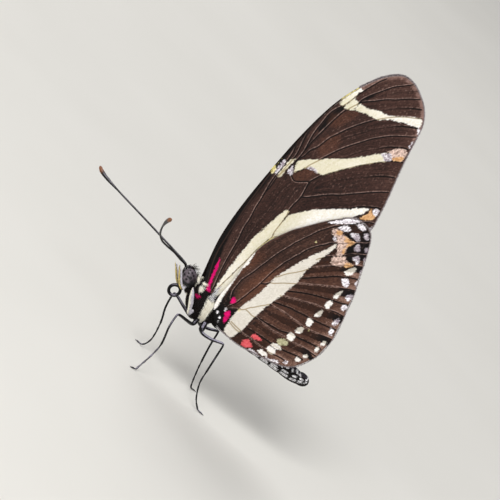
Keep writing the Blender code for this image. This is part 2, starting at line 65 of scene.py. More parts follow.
FOREWING_OUTLINE = (
    (-11.75, 13.6), (-12.5, 15.5), (-14.25, 20.4), (-15.2, 26.0), (-15.7, 33.0), (-15.9, 40.0),
    (-15.55, 46.2), (-14.45, 50.7), (-12.95, 53.9), (-11.25, 55.75), (-9.8, 56.15), (-8.0, 55.8),
    (-5.6, 54.45), (-3.95, 52.5), (-2.95, 49.5), (-2.15, 46.7), (-1.2, 43.8), (-0.15, 40.8),
    (0.6, 38.2), (1.1, 35.8), (0.2, 33.0), (-2.6, 27.6), (-5.6, 21.8), (-8.3, 16.8), (-9.4, 14.0),
    (-10.4, 12.8), (-11.3, 12.9),
)
FOREWING_VEINS = {
    "subcosta": (
        (-11.7, 15.1), (-12.9, 17.7), (-13.6, 19.8), (-14.0, 21.8), (-14.5, 24.4), (-15.0, 27.4), (-15.3, 30.1),
        (-15.6, 32.5), (-15.7, 34.1),
    ),
    "radius": (
        (-10.4, 14.7), (-10.5, 15.3), (-10.9, 16.6), (-11.3, 18.0), (-11.7, 19.6), (-12.0, 20.9), (-12.4, 22.6),
        (-13.0, 24.5), (-13.3, 26.2), (-13.8, 28.0), (-14.0, 29.2), (-14.3, 30.4), (-14.3, 31.6), (-14.5, 32.8),
        (-14.5, 33.9), (-14.4, 34.6), (-14.2, 35.9), (-14.1, 37.1), (-14.2, 38.7), (-14.3, 40.5), (-14.2, 42.6),
        (-14.1, 44.6), (-13.9, 46.5), (-13.5, 47.8), (-13.1, 48.9), (-13.0, 49.8), (-12.5, 51.0), (-11.8, 52.3),
        (-10.9, 53.9), (-10.1, 54.8), (-9.0, 56.0),
    ),
    "first branch of the radius": (
        (-14.0, 29.2), (-14.7, 32.2), (-14.9, 34.1), (-15.0, 35.3), (-15.1, 36.3), (-15.3, 37.5), (-15.7, 38.8),
        (-15.9, 39.8), (-16.1, 40.8),
    ),
    "second branch of the radius": (
        (-14.5, 32.8), (-14.6, 34.8), (-14.6, 36.0), (-14.7, 37.6), (-15.0, 38.7), (-15.6, 40.7), (-15.8, 42.2),
        (-16.0, 43.9), (-16.0, 45.2), (-15.9, 46.6), (-15.5, 47.9),
    ),
    "third branch of the radius": (
        (-14.2, 38.7), (-14.8, 40.9), (-15.0, 42.1), (-15.1, 43.4), (-15.2, 45.0), (-15.0, 46.1), (-14.5, 47.4),
        (-14.2, 48.6), (-14.1, 49.3), (-13.9, 50.3), (-13.6, 51.3), (-13.3, 52.3), (-13.0, 53.2), (-12.5, 54.2),
    ),
    "last branch of the radius": (
        (-13.1, 48.9), (-12.8, 49.4), (-12.1, 50.1), (-11.4, 50.8), (-10.4, 51.9), (-9.3, 52.8), (-8.3, 53.8),
        (-6.8, 55.0),
    ),
    "first median": (
        (-14.1, 37.1), (-13.8, 37.9), (-13.7, 38.4), (-13.6, 39.3), (-13.1, 40.5), (-12.9, 41.7), (-12.7, 42.6),
        (-12.2, 43.8), (-11.8, 44.8), (-11.3, 45.8), (-10.7, 46.9), (-10.2, 47.7), (-9.6, 48.6), (-9.0, 49.4),
        (-8.3, 50.2), (-7.6, 50.9), (-6.5, 51.8), (-5.4, 52.5), (-4.7, 53.0),
    ),
    "second median": (
        (-13.4, 35.3), (-13.0, 35.7), (-12.5, 36.6), (-12.2, 37.7), (-11.6, 39.2), (-11.3, 40.0), (-11.0, 40.8),
        (-10.4, 42.2), (-9.7, 43.5), (-8.9, 44.8), (-8.1, 46.1), (-7.2, 47.2), (-6.2, 48.3), (-5.1, 49.2),
        (-3.9, 50.1), (-3.4, 50.5),
    ),
    "third median": (
        (-10.5, 35.6), (-10.5, 35.8), (-10.2, 36.7), (-9.9, 37.4), (-9.5, 38.0), (-9.1, 38.7), (-8.3, 39.9),
        (-7.5, 41.1), (-6.6, 42.3), (-5.7, 43.4), (-4.7, 44.5), (-3.7, 45.5), (-2.5, 46.3), (-2.1, 46.5),
    ),
    "first cubital": (
        (-9.9, 33.3), (-9.4, 33.6), (-8.9, 34.1), (-7.9, 35.2), (-6.9, 36.2), (-5.8, 37.1), (-4.8, 38.1),
        (-3.8, 39.1), (-2.8, 40.1), (-1.7, 41.1), (-0.8, 41.8),
    ),
    "second cubital": (
        (-9.0, 26.0), (-8.6, 26.5), (-8.1, 27.0), (-6.8, 28.6), (-4.6, 31.5), (-2.3, 34.3), (-0.8, 35.9),
        (0.1, 36.6), (0.8, 37.0),
    ),
    "cubitus": (
        (-10.0, 14.4), (-9.9, 15.6), (-9.8, 16.6), (-9.6, 18.0), (-9.5, 19.8), (-9.4, 21.4), (-9.4, 23.1),
        (-9.3, 24.3), (-9.1, 25.4), (-9.0, 26.0), (-9.3, 27.0), (-9.4, 28.3), (-9.6, 29.7), (-9.9, 31.1),
        (-9.9, 32.3), (-9.9, 33.3), (-10.2, 34.5), (-10.5, 35.6),
    ),
    "end of the cell": (
        (-10.5, 35.6), (-10.8, 35.6), (-11.2, 35.2), (-12.2, 34.5), (-13.0, 34.7), (-13.4, 35.3), (-13.8, 36.0),
        (-14.1, 37.1),
    ),
}
FOREWING_FOLDS = (
    ((-10.6, 52.8), (-9.9, 53.7), (-9.2, 54.4), (-7.7, 55.8)),
    ((-10.0, 50.0), (-9.3, 50.8), (-8.7, 51.5), (-7.9, 52.3), (-6.8, 53.2), (-5.6, 54.0)),
    (
        (-11.4, 42.9), (-11.0, 43.9), (-10.2, 45.2), (-9.6, 46.1), (-9.0, 47.1), (-8.1, 48.2), (-7.1, 49.3),
        (-6.1, 50.3), (-4.9, 51.1), (-4.1, 51.6),
    ),
    (
        (-10.2, 38.2), (-10.1, 38.9), (-9.8, 40.0), (-9.4, 41.1), (-9.0, 41.7), (-8.7, 42.4), (-8.1, 43.5),
        (-7.4, 44.5), (-6.6, 45.3), (-5.9, 46.2), (-5.3, 46.9), (-4.5, 47.5), (-3.7, 48.1), (-2.9, 48.4),
    ),
    ((-7.6, 38.3), (-6.8, 39.3), (-6.1, 40.1), (-5.3, 40.9), (-4.7, 41.5), (-3.8, 42.4), (-2.7, 43.3), (-1.6, 44.0)),
    (
        (-7.6, 32.6), (-6.5, 33.6), (-5.6, 34.7), (-4.4, 35.6), (-3.3, 36.5), (-2.8, 37.2), (-2.2, 37.8),
        (-1.2, 38.5), (-0.5, 39.0), (0.1, 39.3),
    ),
    (
        (-12.7, 34.1), (-12.7, 33.4), (-12.8, 32.0), (-12.5, 30.4), (-12.4, 29.0), (-12.3, 27.2), (-12.1, 25.2),
        (-11.9, 23.4), (-11.8, 21.5), (-11.3, 19.2), (-10.8, 17.3),
    ),
    ((-11.3, 34.3), (-11.1, 32.3), (-10.7, 30.4), (-10.7, 28.6), (-10.7, 26.6)),
)
FOREWING_MARKS = {
    "cream": (
        (
            (-15.07, 47.07), (-14.45, 47.35), (-14.21, 48.58), (-14.18, 49.41), (-14.08, 50.15), (-13.99, 50.8),
            (-14.4, 50.62), (-14.69, 49.97), (-14.87, 49.32), (-15.07, 48.46), (-15.15, 47.7),
        ),
        (
            (-14.19, 47.07), (-13.46, 47.32), (-13.05, 47.73), (-13.02, 48.55), (-13.08, 48.94), (-13.53, 49.01),
            (-13.8, 49.09), (-14.14, 49.04), (-14.2, 48.36), (-14.33, 47.65),
        ),
        (
            (-12.94, 47.82), (-12.32, 47.98), (-11.75, 48.22), (-11.16, 48.41), (-10.42, 48.67), (-10.05, 48.69),
            (-9.43, 48.85), (-8.97, 49.2), (-8.34, 49.79), (-7.87, 50.12), (-7.31, 50.35), (-6.85, 50.5),
            (-6.16, 51.02), (-5.68, 51.12), (-4.95, 51.38), (-4.24, 51.67), (-3.96, 52.07), (-4.31, 52.67),
            (-4.6, 52.93), (-5.45, 52.58), (-6.62, 51.73), (-7.78, 50.88), (-8.5, 50.39), (-9.06, 50.16),
            (-9.77, 50.08), (-10.58, 49.7), (-11.23, 49.35), (-11.82, 49.15), (-12.36, 49.1), (-12.9, 48.95),
            (-12.92, 48.23),
        ),
        ((-15.49, 33.06), (-15.39, 33.49), (-15.49, 34.26), (-15.84, 34.31), (-15.79, 33.61)),
        (
            (-14.62, 33.39), (-14.21, 33.68), (-14.29, 34.51), (-14.33, 35.63), (-14.34, 36.72), (-14.28, 37.08),
            (-14.76, 36.53), (-14.9, 36.05), (-14.82, 35.42), (-14.8, 34.44), (-14.77, 33.77),
        ),
        (
            (-13.14, 35.34), (-12.94, 35.81), (-12.65, 36.35), (-12.31, 37.03), (-12.08, 37.43), (-11.76, 37.5),
            (-11.23, 37.55), (-10.72, 37.41), (-10.08, 37.57), (-9.58, 37.97), (-8.99, 38.92), (-8.33, 39.91),
            (-7.48, 41.11), (-6.61, 42.28), (-5.68, 43.41), (-4.72, 44.49), (-4.1, 45.08), (-4.23, 45.77),
            (-4.43, 46.1), (-4.97, 46.05), (-5.55, 45.4), (-6.03, 44.86), (-6.7, 44.11), (-7.26, 43.44),
            (-7.82, 42.78), (-8.43, 42.17), (-8.93, 41.65), (-9.45, 41.16), (-10.37, 40.45), (-11.01, 39.88),
            (-11.59, 39.23), (-12.14, 38.77), (-12.69, 38.31), (-13.41, 37.61), (-13.8, 37.18), (-13.82, 36.57),
            (-13.57, 35.97),
        ),
        (
            (-9.72, 30.53), (-9.96, 30.58), (-10.26, 30.27), (-10.45, 29.41), (-10.54, 28.44), (-10.63, 27.46),
            (-10.72, 26.49), (-10.75, 25.67), (-10.94, 24.81), (-10.93, 23.52), (-10.81, 22.32), (-10.75, 21.17),
            (-10.73, 20.29), (-10.6, 19.3), (-10.56, 18.38), (-10.42, 17.56), (-10.38, 16.86), (-10.31, 16.11),
            (-10.32, 15.47), (-10.16, 14.85), (-9.88, 15.62), (-9.77, 16.61), (-9.63, 17.99), (-9.52, 19.81),
            (-9.41, 21.4), (-9.42, 23.13), (-9.3, 24.27), (-9.13, 25.37), (-9.03, 26.01), (-9.26, 27.02),
            (-9.43, 28.27), (-9.59, 29.74),
        ),
        (
            (-9.86, 15.82), (-9.63, 17.99), (-9.52, 19.81), (-9.41, 21.4), (-9.42, 23.13), (-9.3, 24.27),
            (-9.03, 26.01), (-9.26, 27.02), (-9.43, 28.27), (-9.43, 29.77), (-9.27, 30.24), (-8.83, 30.82),
            (-8.41, 31.43), (-7.9, 32.15), (-7.02, 33.1), (-5.97, 34.08), (-4.34, 35.49), (-3.24, 36.41),
            (-2.69, 37.08), (-2.06, 37.67), (-1.39, 38.11), (-1.14, 38.14), (-1.2, 37.79), (-1.32, 37.49),
            (-1.44, 36.99), (-1.92, 36.23), (-2.3, 35.37), (-2.49, 34.51), (-3.63, 32.55), (-5.8, 28.53),
            (-7.86, 24.4), (-8.52, 20.85), (-8.09, 16.45), (-8.55, 13.06), (-9.5, 13.46), (-9.87, 14.52),
        ),
    ),
    "violet": (
        (
            (-15.1, 33.39), (-14.93, 33.83), (-14.96, 34.51), (-15.08, 35.5), (-15.25, 35.9), (-15.52, 35.77),
            (-15.52, 35.03), (-15.44, 34.3), (-15.3, 33.82),
        ),
        (
            (-13.83, 34.65), (-13.3, 34.7), (-13.23, 35.06), (-13.74, 35.83), (-14.04, 36.17), (-14.01, 35.71),
            (-14.03, 35.19),
        ),
        (
            (-12.23, 36.94), (-11.83, 37.14), (-11.39, 37.31), (-10.85, 37.34), (-10.55, 37.44), (-11.17, 37.7),
            (-11.86, 37.61),
        ),
        (
            (-5.53, 45.38), (-4.95, 46.02), (-4.42, 46.3), (-4.06, 46.11), (-3.76, 45.67), (-3.99, 45.18),
            (-4.37, 44.96), (-4.95, 45.17),
        ),
        ((-4.0, 51.74), (-3.71, 51.68), (-3.49, 51.27), (-3.52, 50.94), (-3.83, 51.18), (-3.98, 51.55)),
        ((-3.06, 49.93), (-2.98, 49.2), (-2.98, 48.6), (-3.18, 48.73), (-3.29, 49.33)),
        ((-0.64, 38.66), (0.1, 39.02), (0.31, 38.46), (0.35, 37.99), (-0.08, 37.89), (-0.57, 38.22)),
        ((0.73, 35.72), (0.76, 36.04), (0.96, 36.41), (1.13, 36.06), (1.22, 35.63), (1.07, 35.55)),
    ),
    "beige": (
        (
            (-4.33, 46.09), (-3.75, 45.77), (-2.93, 46.14), (-2.47, 46.49), (-2.57, 47.35), (-2.9, 48.11),
            (-3.58, 47.94), (-4.29, 47.44), (-4.72, 46.85), (-4.93, 46.22), (-4.53, 46.31),
        ),
    ),
    "orange": (
        (
            (-3.85, 45.99), (-3.54, 45.75), (-2.79, 46.2), (-2.52, 46.54), (-2.55, 47.11), (-3.02, 46.88),
            (-3.43, 46.48),
        ),
        (
            (-0.97, 38.38), (-0.88, 37.86), (-0.95, 37.3), (-1.17, 36.68), (-1.34, 36.23), (-0.85, 36.33),
            (-0.17, 36.86), (0.2, 37.31), (0.26, 37.88), (-0.16, 37.87), (-0.6, 38.19),
        ),
    ),
    "crimson": (
        (
            (-11.14, 14.07), (-11.36, 14.46), (-11.53, 15.08), (-11.85, 16.11), (-12.07, 17.03), (-12.37, 17.8),
            (-12.52, 18.52), (-12.6, 18.87), (-12.23, 18.56), (-11.93, 17.86), (-11.7, 17.04), (-11.41, 16.27),
            (-11.12, 15.39), (-10.81, 14.71), (-10.43, 14.35), (-10.39, 13.91), (-10.82, 13.85),
        ),
    ),
    "dark": (
        ((-12.98, 49.58), (-12.79, 50.44), (-12.25, 51.33), (-11.92, 51.4), (-12.33, 50.36), (-12.68, 49.67)),
        (
            (-14.87, 42.45), (-15.02, 43.9), (-15.02, 45.19), (-14.66, 46.51), (-14.32, 47.2), (-14.05, 46.79),
            (-14.22, 45.16), (-14.29, 43.52), (-14.46, 41.99),
        ),
    ),
    "warm": (
        (
            (-13.12, 35.15), (-12.92, 34.72), (-12.37, 34.53), (-11.64, 35.0), (-11.14, 35.52), (-10.9, 36.12),
            (-10.66, 36.92), (-10.8, 37.4), (-11.31, 37.43), (-11.9, 37.22), (-12.38, 36.68), (-12.8, 35.86),
        ),
        ((-13.41, 41.68), (-12.49, 43.24), (-11.42, 43.34), (-11.06, 41.66), (-11.55, 40.06), (-12.62, 39.96)),
        (
            (-14.75, 45.32), (-13.96, 46.17), (-12.95, 47.61), (-11.98, 47.83), (-12.37, 46.11), (-13.08, 44.33),
            (-14.37, 44.04),
        ),
    ),
    "yellow": (
        (
            (-9.34, 23.46), (-9.22, 25.05), (-8.92, 26.0), (-8.09, 27.0), (-7.41, 28.18), (-7.82, 27.13),
            (-8.29, 25.94), (-8.82, 24.6), (-9.07, 23.38),
        ),
        ((-15.51, 33.09), (-15.42, 33.52), (-15.52, 34.23), (-15.82, 34.28), (-15.79, 33.61)),
    ),
}


def place(points):
    """Points in millimetres, as points in metres in the frame of the solids."""
    return (np.asarray(points, float) - np.array(STANCE_ORIGIN)) * 0.001


def ease(value, start, end):
    share = np.clip((np.asarray(value, float) - start) / (end - start), 0, 1)
    return share * share * (3 - 2 * share)


def smooth(points, step):
    """Points about one step apart on a smooth curve through the points given."""
    p = np.asarray(points, float)
    p = np.vstack((2 * p[0] - p[1], p, 2 * p[-1] - p[-2]))
    found = []
    for a, b, c, d in zip(p, p[1:], p[2:], p[3:]):
        count = max(1, round(np.linalg.norm(c - b) / step))
        t = (np.arange(count) / count)[:, None]
        found.append(0.5 * (2 * b + (c - a) * t + (2 * a - 5 * b + 4 * c - d + (3 * b - a - 3 * c + d) * t) * t * t))
    return np.vstack((*found, p[-2]))


def distance(points, line):
    """How far each point lies from a line of points, with a sign for the side that it lies on."""
    least = np.full(len(points), np.inf)
    side = np.zeros(len(points))
    for a, b in zip(line, line[1:]):
        run = b - a
        share = np.clip(((points - a) @ run) / (run @ run), 0, 1)
        gap = points - a - share[:, None] * run
        far = np.linalg.norm(gap, axis=1)
        nearer = far < least
        least[nearer] = far[nearer]
        side[nearer] = np.sign(run[0] * gap[nearer, 1] - run[1] * gap[nearer, 0])
    return least, side


def inside(points, loop):
    """Whether each point lies inside a closed loop of points."""
    hits = np.zeros(len(points), int)
    for a, b in zip(loop, loop[1:]):
        if a[1] != b[1]:
            crosses = (a[1] > points[:, 1]) != (b[1] > points[:, 1])
            hits += crosses & (points[:, 0] < a[0] + (b[0] - a[0]) * (points[:, 1] - a[1]) / (b[1] - a[1]))
    return hits % 2 == 1


def depth_in(points, outline, step=0.4):
    """How deep each point lies in a shape: its distance from the edge, negative outside it."""
    loop = smooth([*outline, outline[0]], step)
    return distance(points, loop)[0] * np.where(inside(points, loop), 1, -1)


def forewing_lie(x, z):
    """How far the forewing stands from the body's plane: apart at the root, close above."""
    return 1.25 - 0.85 * ease(z, 13.6, 19.5) - 0.15 * ease(z, 37, 50)


def mesh_object(name, points, faces, finish, smooth_faces=True):
    """A new mesh piece from points in millimetres, riding on the body."""
    mesh = bpy.data.meshes.new(name)
    mesh.from_pydata(place(points), [], faces)
    mesh.materials.append(finish.material)
    mesh.polygons.foreach_set("use_smooth", [smooth_faces] * len(mesh.polygons))
    mesh.update()
    obj = bpy.data.objects.new(name, mesh)
    bpy.context.scene.collection.objects.link(obj)
    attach(obj, "root")
    return obj


def stencil(obj, name, values):
    """Gives a mesh a named value at every point, which its finish reads."""
    attribute = obj.data.attributes.new(name, "FLOAT", "POINT")
    attribute.data.foreach_set("value", np.asarray(values, np.float32))


def membrane_plan(outline, veins, folds, scallop):
    """Flat points (x, z) and triangles of a wing, cut along its margin, its veins and its folds."""
    rim = smooth([*outline, outline[0]], WING_MESH)
    along = np.gradient(rim[:-1], axis=0)
    outwards = np.c_[-along[:, 1], along[:, 0]] / np.linalg.norm(along, axis=1)[:, None]
    rim[:-1] += outwards * scallop(rim[:-1])[:, None]
    rim[-1] = rim[0]
    crests = [smooth(vein, WING_MESH) for vein in veins.values()]
    creases = [smooth(fold, WING_MESH) for fold in folds]
    lows, highs = rim.min(0), rim.max(0)
    grid = []
    for row, z in enumerate(np.arange(lows[1], highs[1], WING_MESH * 0.866)):
        x = np.arange(lows[0] + row % 2 * WING_MESH / 2, highs[0], WING_MESH)
        grid.append(np.c_[x, np.full(len(x), z)])
    grid = np.vstack(grid)
    grid = grid[inside(grid, rim)]
    lines = [rim, *creases]
    for crest in crests:
        along = np.gradient(crest, axis=0)
        across = np.c_[-along[:, 1], along[:, 0]] / np.linalg.norm(along, axis=1)[:, None]
        lines += [crest, crest + across * VEIN_HALF_WIDTH, crest - across * VEIN_HALF_WIDTH]
    for line in lines:
        grid = grid[distance(grid, line)[0] > 0.45 * WING_MESH]
    points, edges = [], []
    for line in lines:
        if line is not rim:
            line = line[inside(line, rim)]
            line = line[distance(line, rim)[0] > 0.3 * WING_MESH]
        edges += [(len(points) + i, len(points) + i + 1) for i in range(len(line) - 1)]
        points += [Vector(p) for p in line]
    points += [Vector(p) for p in grid]
    points, _, faces, *_ = delaunay_2d_cdt(points, edges, [], 1, 0.02)
    return np.array(points), faces, rim, crests, creases


def nearest(points, lines):
    """Distance to the nearest of several lines, and which side of it each point lies on."""
    best, way = np.full(len(points), 99.0), np.zeros(len(points))
    for line in lines:
        far, side = distance(points, line)
        nearer = far < best
        best[nearer], way[nearer] = far[nearer], side[nearer]
    return best, np.where(best < 1e-4, 0, way)


def build_membranes(kind, outline, veins, folds, lie, relief, marks, scallop, finish):
    """The left and the right wing: two faces a hair apart and the strip round their margin, with stencils."""
    flat, faces, rim, crests, creases = membrane_plan(outline, veins, folds, scallop)
    vein, vein_side = nearest(flat, crests)
    fold, fold_side = nearest(flat, creases)
    edge = distance(flat, rim)[0]
    rise = VEIN_RISE * np.clip(1 - vein / VEIN_HALF_WIDTH, 0, 1) * ease(edge, 0, 0.4)
    middle = lie(flat[:, 0], flat[:, 1]) + relief(flat, vein) * ease(edge, 0, 0.6)
    half = WING_THICKNESS / 2 * (0.35 + 0.65 * ease(edge, 0, 0.3))
    stencils = {
        "vein": vein, "vein_side": vein_side, "fold": fold, "fold_side": fold_side, "edge": edge, **marks(flat),
    }
    count = len(flat)
    turned = [f[::-1] for f in faces]
    for word, side in SIDES:
        outer = np.c_[flat[:, 0], side * (middle + half + rise), flat[:, 1]]
        inner = np.c_[flat[:, 0], side * (middle - half - 0.6 * rise), flat[:, 1]]
        out_faces, in_faces = (faces, turned) if side < 0 else (turned, faces)
        sides = {(a, b) for face in out_faces for a, b in zip(face, (*face[1:], face[0]))}
        strip = [(b, a, a + count, b + count) for a, b in sorted(sides) if (b, a) not in sides]
        everything = [*out_faces, *[[i + count for i in f] for f in in_faces], *strip]
        wing = mesh_object(kind + "_skin_" + word, np.vstack((outer, inner)), everything, finish)
        for key, values in stencils.items():
            stencil(wing, key, np.tile(values, 2))
        stencil(wing, "upper_face", np.repeat((0.0, 1.0), count))
        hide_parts(kind + "_" + word)


def union_depth(points, shapes, step=0.4):
    """How deep each point lies in the deepest of several shapes."""
    return np.max([depth_in(points, shape, step) for shape in shapes], axis=0)


class Shade:
    """A value that varies over a surface; arithmetic on it adds Math nodes to its finish."""

    def __init__(self, finish, socket):
        self.finish = finish
        self.socket = socket

    def math(self, operation, *others):
        return self.finish.add("ShaderNodeMath", {"operation": operation}, dict(enumerate((self, *others))))

    def __add__(self, other):
        return self.math("ADD", other)

    def __sub__(self, other):
        return self.math("SUBTRACT", other)

    def __rsub__(self, other):
        return self * -1 + other

    def __mul__(self, other):
        return self.math("MULTIPLY", other)

    def __abs__(self):
        return self.math("ABSOLUTE")

    def over(self, other):
        return self.math("MAXIMUM", other)

    def held(self):
        """The value kept between 0 and 1."""
        return self.finish.add("ShaderNodeClamp", {}, {0: self})

    def from_edge(self, width):
        """0 outside and 1 inside, through an edge of that width where the value passes 0."""
        return (self * (1 / width) + 0.5).held()

    def line(self, half_width):
        """1 where the value is 0, fading to 0 at the half width."""
        return (1 - abs(self) * (1 / half_width)).held()

    __radd__ = __add__
    __rmul__ = __mul__


class Finish:
    """A material: add() puts in a node, its settings first and then the values or links of its inputs."""

    def __init__(self, name, constants):
        self.material = bpy.data.materials.new(name)
        self.material.use_nodes = True
        self.tree = self.material.node_tree
        self.shader = self.tree.nodes["Principled BSDF"]
        for key, value in constants.items():
            self.shader.inputs[key].default_value = value

    def add(self, kind, settings, inputs, output=0):
        node = self.tree.nodes.new(kind)
        for key, value in settings.items():
            if key == "stops":
                ramp = node.color_ramp.elements
                while len(ramp) < len(value):
                    ramp.new(0.5)
                for element, (position, colour) in zip(ramp, value):
                    element.position = position
                    element.color = colour
            else:
                setattr(node, key, value)
        for key, value in inputs.items():
            if isinstance(value, Shade):
                self.tree.links.new(value.socket, node.inputs[key])
            else:
                node.inputs[key].default_value = value
        return Shade(self, node.outputs[output])

    def read(self, name):
        return self.add("ShaderNodeAttribute", {"attribute_name": name}, {}, 2)

    def grain(self, scale, stretch=(1, 1, 1), turn=0.0, detail=2.0):
        """Noise from 0 to 1, with that many waves a millimetre, stretched along an axis after a turn about Y."""
        where = self.add("ShaderNodeTexCoord", {}, {}, 3)
        turned = self.add("ShaderNodeMapping", {}, {0: where, "Rotation": (0, math.radians(turn), 0)})
        scaled = self.add("ShaderNodeMapping", {}, {0: turned, "Scale": [1000 * scale / s for s in stretch]})
        return self.add("ShaderNodeTexNoise", {}, {"Vector": scaled, "Scale": 1, "Detail": detail})

    def cells(self, scale, stretch=(1, 1, 1), turn=0.0):
        """A different value from 0 to 1 for each scale of the wing, as its own small cell."""
        where = self.add("ShaderNodeTexCoord", {}, {}, 3)
        turned = self.add("ShaderNodeMapping", {}, {0: where, "Rotation": (0, math.radians(turn), 0)})
        scaled = self.add("ShaderNodeMapping", {}, {0: turned, "Scale": [1000 * scale / s for s in stretch]})
        cell = self.add("ShaderNodeTexVoronoi", {}, {"Vector": scaled, "Scale": 1}, 1)
        return self.add("ShaderNodeSeparateColor", {}, {0: cell})

    def mix(self, share, a, b):
        """Colour a where the share is 0 and b where it is 1."""
        return self.add("ShaderNodeMix", {"data_type": "RGBA"}, {0: share, 6: a, 7: b}, 2)

    def ramp(self, value, *stops):
        return self.add("ShaderNodeValToRGB", {"stops": stops}, {0: value})

    def wear(self, colour=None, roughness=None, height=None, bump=0.5, depth=0.05):
        """Feeds the shader: colour, roughness, and a height in depths of so many millimetres as bump."""
        if colour:
            self.tree.links.new(colour.socket, self.shader.inputs["Base Color"])
        if roughness:
            self.tree.links.new(roughness.socket, self.shader.inputs["Roughness"])
        if height:
            normal = self.add("ShaderNodeBump", {}, {"Strength": bump, "Distance": depth * 0.001, "Height": height})
            self.tree.links.new(normal.socket, self.shader.inputs["Normal"])


def tint(code, alpha=1.0):
    """A colour from its six hexadecimal digits, as the shader takes it."""
    parts = [int(code[i:i + 2], 16) / 255 for i in (0, 2, 4)]
    return (*[p / 12.92 if p <= 0.04045 else ((p + 0.055) / 1.055) ** 2.4 for p in parts], alpha)


def wing_finish(name, turn, ground, pale_codes):
    """Scales over the membrane: brown ground with painted light and shade, the marks with ragged edges, veins, and the
    dark upper face.
    """
    finish = Finish(name, {"Roughness": 0.62, "Specular IOR Level": 0.14})
    scale = finish.cells(7.0, (1, 1, 1.8), -turn)
    ragged = (finish.grain(4.5, (1, 1, 2.2), -turn, 3.0) - 0.5) * 0.42 + (scale - 0.5) * 0.16
    vein, fold, edge = finish.read("vein"), finish.read("fold"), finish.read("edge")
    where = finish.add("ShaderNodeTexCoord", {}, {}, 3)
    slow = finish.add("ShaderNodeVectorMath", {"operation": "SCALE"}, {0: where, "Scale": 130.0})
    flow = finish.add("ShaderNodeCombineXYZ", {}, {0: vein.math("MINIMUM", fold) * 5.5})
    moved = finish.add("ShaderNodeVectorMath", {"operation": "ADD"}, {0: slow, 1: flow})
    streak = finish.add("ShaderNodeTexNoise", {}, {"Vector": moved, "Scale": 1, "Detail": 3.0})
    cloud = finish.grain(0.22, (1, 1, 2.0), -turn, 2.0)

    # The light stencil brings painted light, shade and sheen into the tone, beside the ground's own changes of tone
    tone = 0.29 + (scale - 0.5) * 0.22 + (streak - 0.5) * 0.7 + (cloud - 0.5) * 0.3 + finish.read("light")
    stops = [(at, tint(code)) for at, code in zip((0.0, 0.3, 0.6, 1.0), ground)]
    colour = finish.ramp(tone.held(), *stops)
    colour = finish.mix(finish.read("warm").held() * (0.5 + scale * 0.5), colour, tint("744834"))
    # Painted glints: sparse pale specks on single scales, more of them where the light stencil is high
    glint_speck = ((scale - 0.94) * 16).held() * (0.12 + finish.read("light").held() * 0.8)
    colour = finish.mix(glint_speck.held(), colour, tint("a5877c"))

    def mark(key, soft=0.15):
        return (finish.read(key) + ragged).from_edge(soft)

    # Lines of the veins and folds: veins dark, with a line of pale scales and painted highlight along the side towards
    # the front margin; each fold a painted shade line down the crease with a painted highlight on one lip
    lit_side = finish.read("vein_side").held()
    lit_fold = finish.read("fold_side").held()
    row = ((scale - 0.25) * 1.6).held()
    ink = finish.read("ink")
    dark_line = ((vein + 0.02).line(0.14) * 2.2).held()
    # Painted shade down the crease of each fold
    crease_shade_line = (fold.line(0.14) * 2.0).held() * finish.read("crease")
    light_line = ((vein - 0.16).line(0.1) * lit_side * (0.25 + row * 0.6)).held()
    # light_fold: painted highlight on the lit lip of each fold
    light_fold = ((fold - 0.2).line(0.14) * lit_fold * finish.read("crease") * row * 0.5).held()
    colour = finish.mix(light_line.over(light_fold), colour, tint("9b7f76"))
    colour = finish.mix(dark_line * ink, colour, tint("0c0707"))
    colour = finish.mix(dark_line * (1 - ink) * 0.6 * row, colour, tint("8e7267"))
    colour = finish.mix(crease_shade_line, colour, tint("0b0605"))
    colour = finish.mix(mark("black", 0.3), colour, tint("080505"))
    colour = finish.mix(mark("black") * dark_line * 0.6, colour, tint("3a2721"))

    cream = mark("cream")
    # white: how white the pale marks are; on the hindwing pleats it also carries painted shade
    white = (finish.read("white") + (scale - 0.5) * 0.3 + (streak - 0.5) * 0.4).held()
    pale = finish.ramp(white, *[(at, tint(code)) for at, code in zip((0.0, 0.35, 0.7, 1.0), pale_codes)])
    pale = finish.mix(dark_line * 0.75, pale, tint("8f7a4e"))
    # Painted shade of the folds across the pale marks
    pale = finish.mix(crease_shade_line * 0.35, pale, tint("b09c78"))
    colour = finish.mix(cream, colour, pale)
    colour = finish.mix(mark("yellow"), colour, finish.mix(scale, tint("c9b878"), tint("e4d9a4")))
    grey = (white * 0.75 + (scale - 0.5) * 0.7).held()
    for key, code, other, share in (
        ("beige", "8c7166", "e6cbbd", scale), ("violet", "93868f", "fbf7fb", grey),
        ("orange", "b07c48", "e0b587", scale), ("crimson", "de0468", "b2005a", scale),
        ("coral", "c9434c", "da6468", scale), ("green", "8f8a68", "bdb896", scale),
    ):
        colour = finish.mix(mark(key), colour, finish.mix(share, tint(code), tint(other)))
    on_marks = mark("beige").over(mark("violet")).over(mark("coral")).over(mark("green"))
    colour = finish.mix(dark_line * on_marks * 0.55, colour, tint("3a2620"))
    # Painted shade of the folds across the spots
    colour = finish.mix(crease_shade_line * on_marks * 0.9, colour, tint("241513"))
    colour = finish.mix((0.07 - edge).from_edge(0.08) * (1 - mark("black")) * 0.5, colour, tint("8d807b"))

    every = cream.over(mark("beige")).over(mark("orange")).over(mark("violet"))
    upper = finish.mix(every, finish.ramp(tone.held(), (0.0, tint("0c0809")), (1.0, tint("33231d"))), tint("e9dc8e"))
    colour = finish.mix(finish.read("upper_face"), colour, upper)
    finish.wear(colour, (0.5 + scale * 0.25).held(), scale * 0.6 + streak * 0.6, 0.5, 0.04)
    return finish


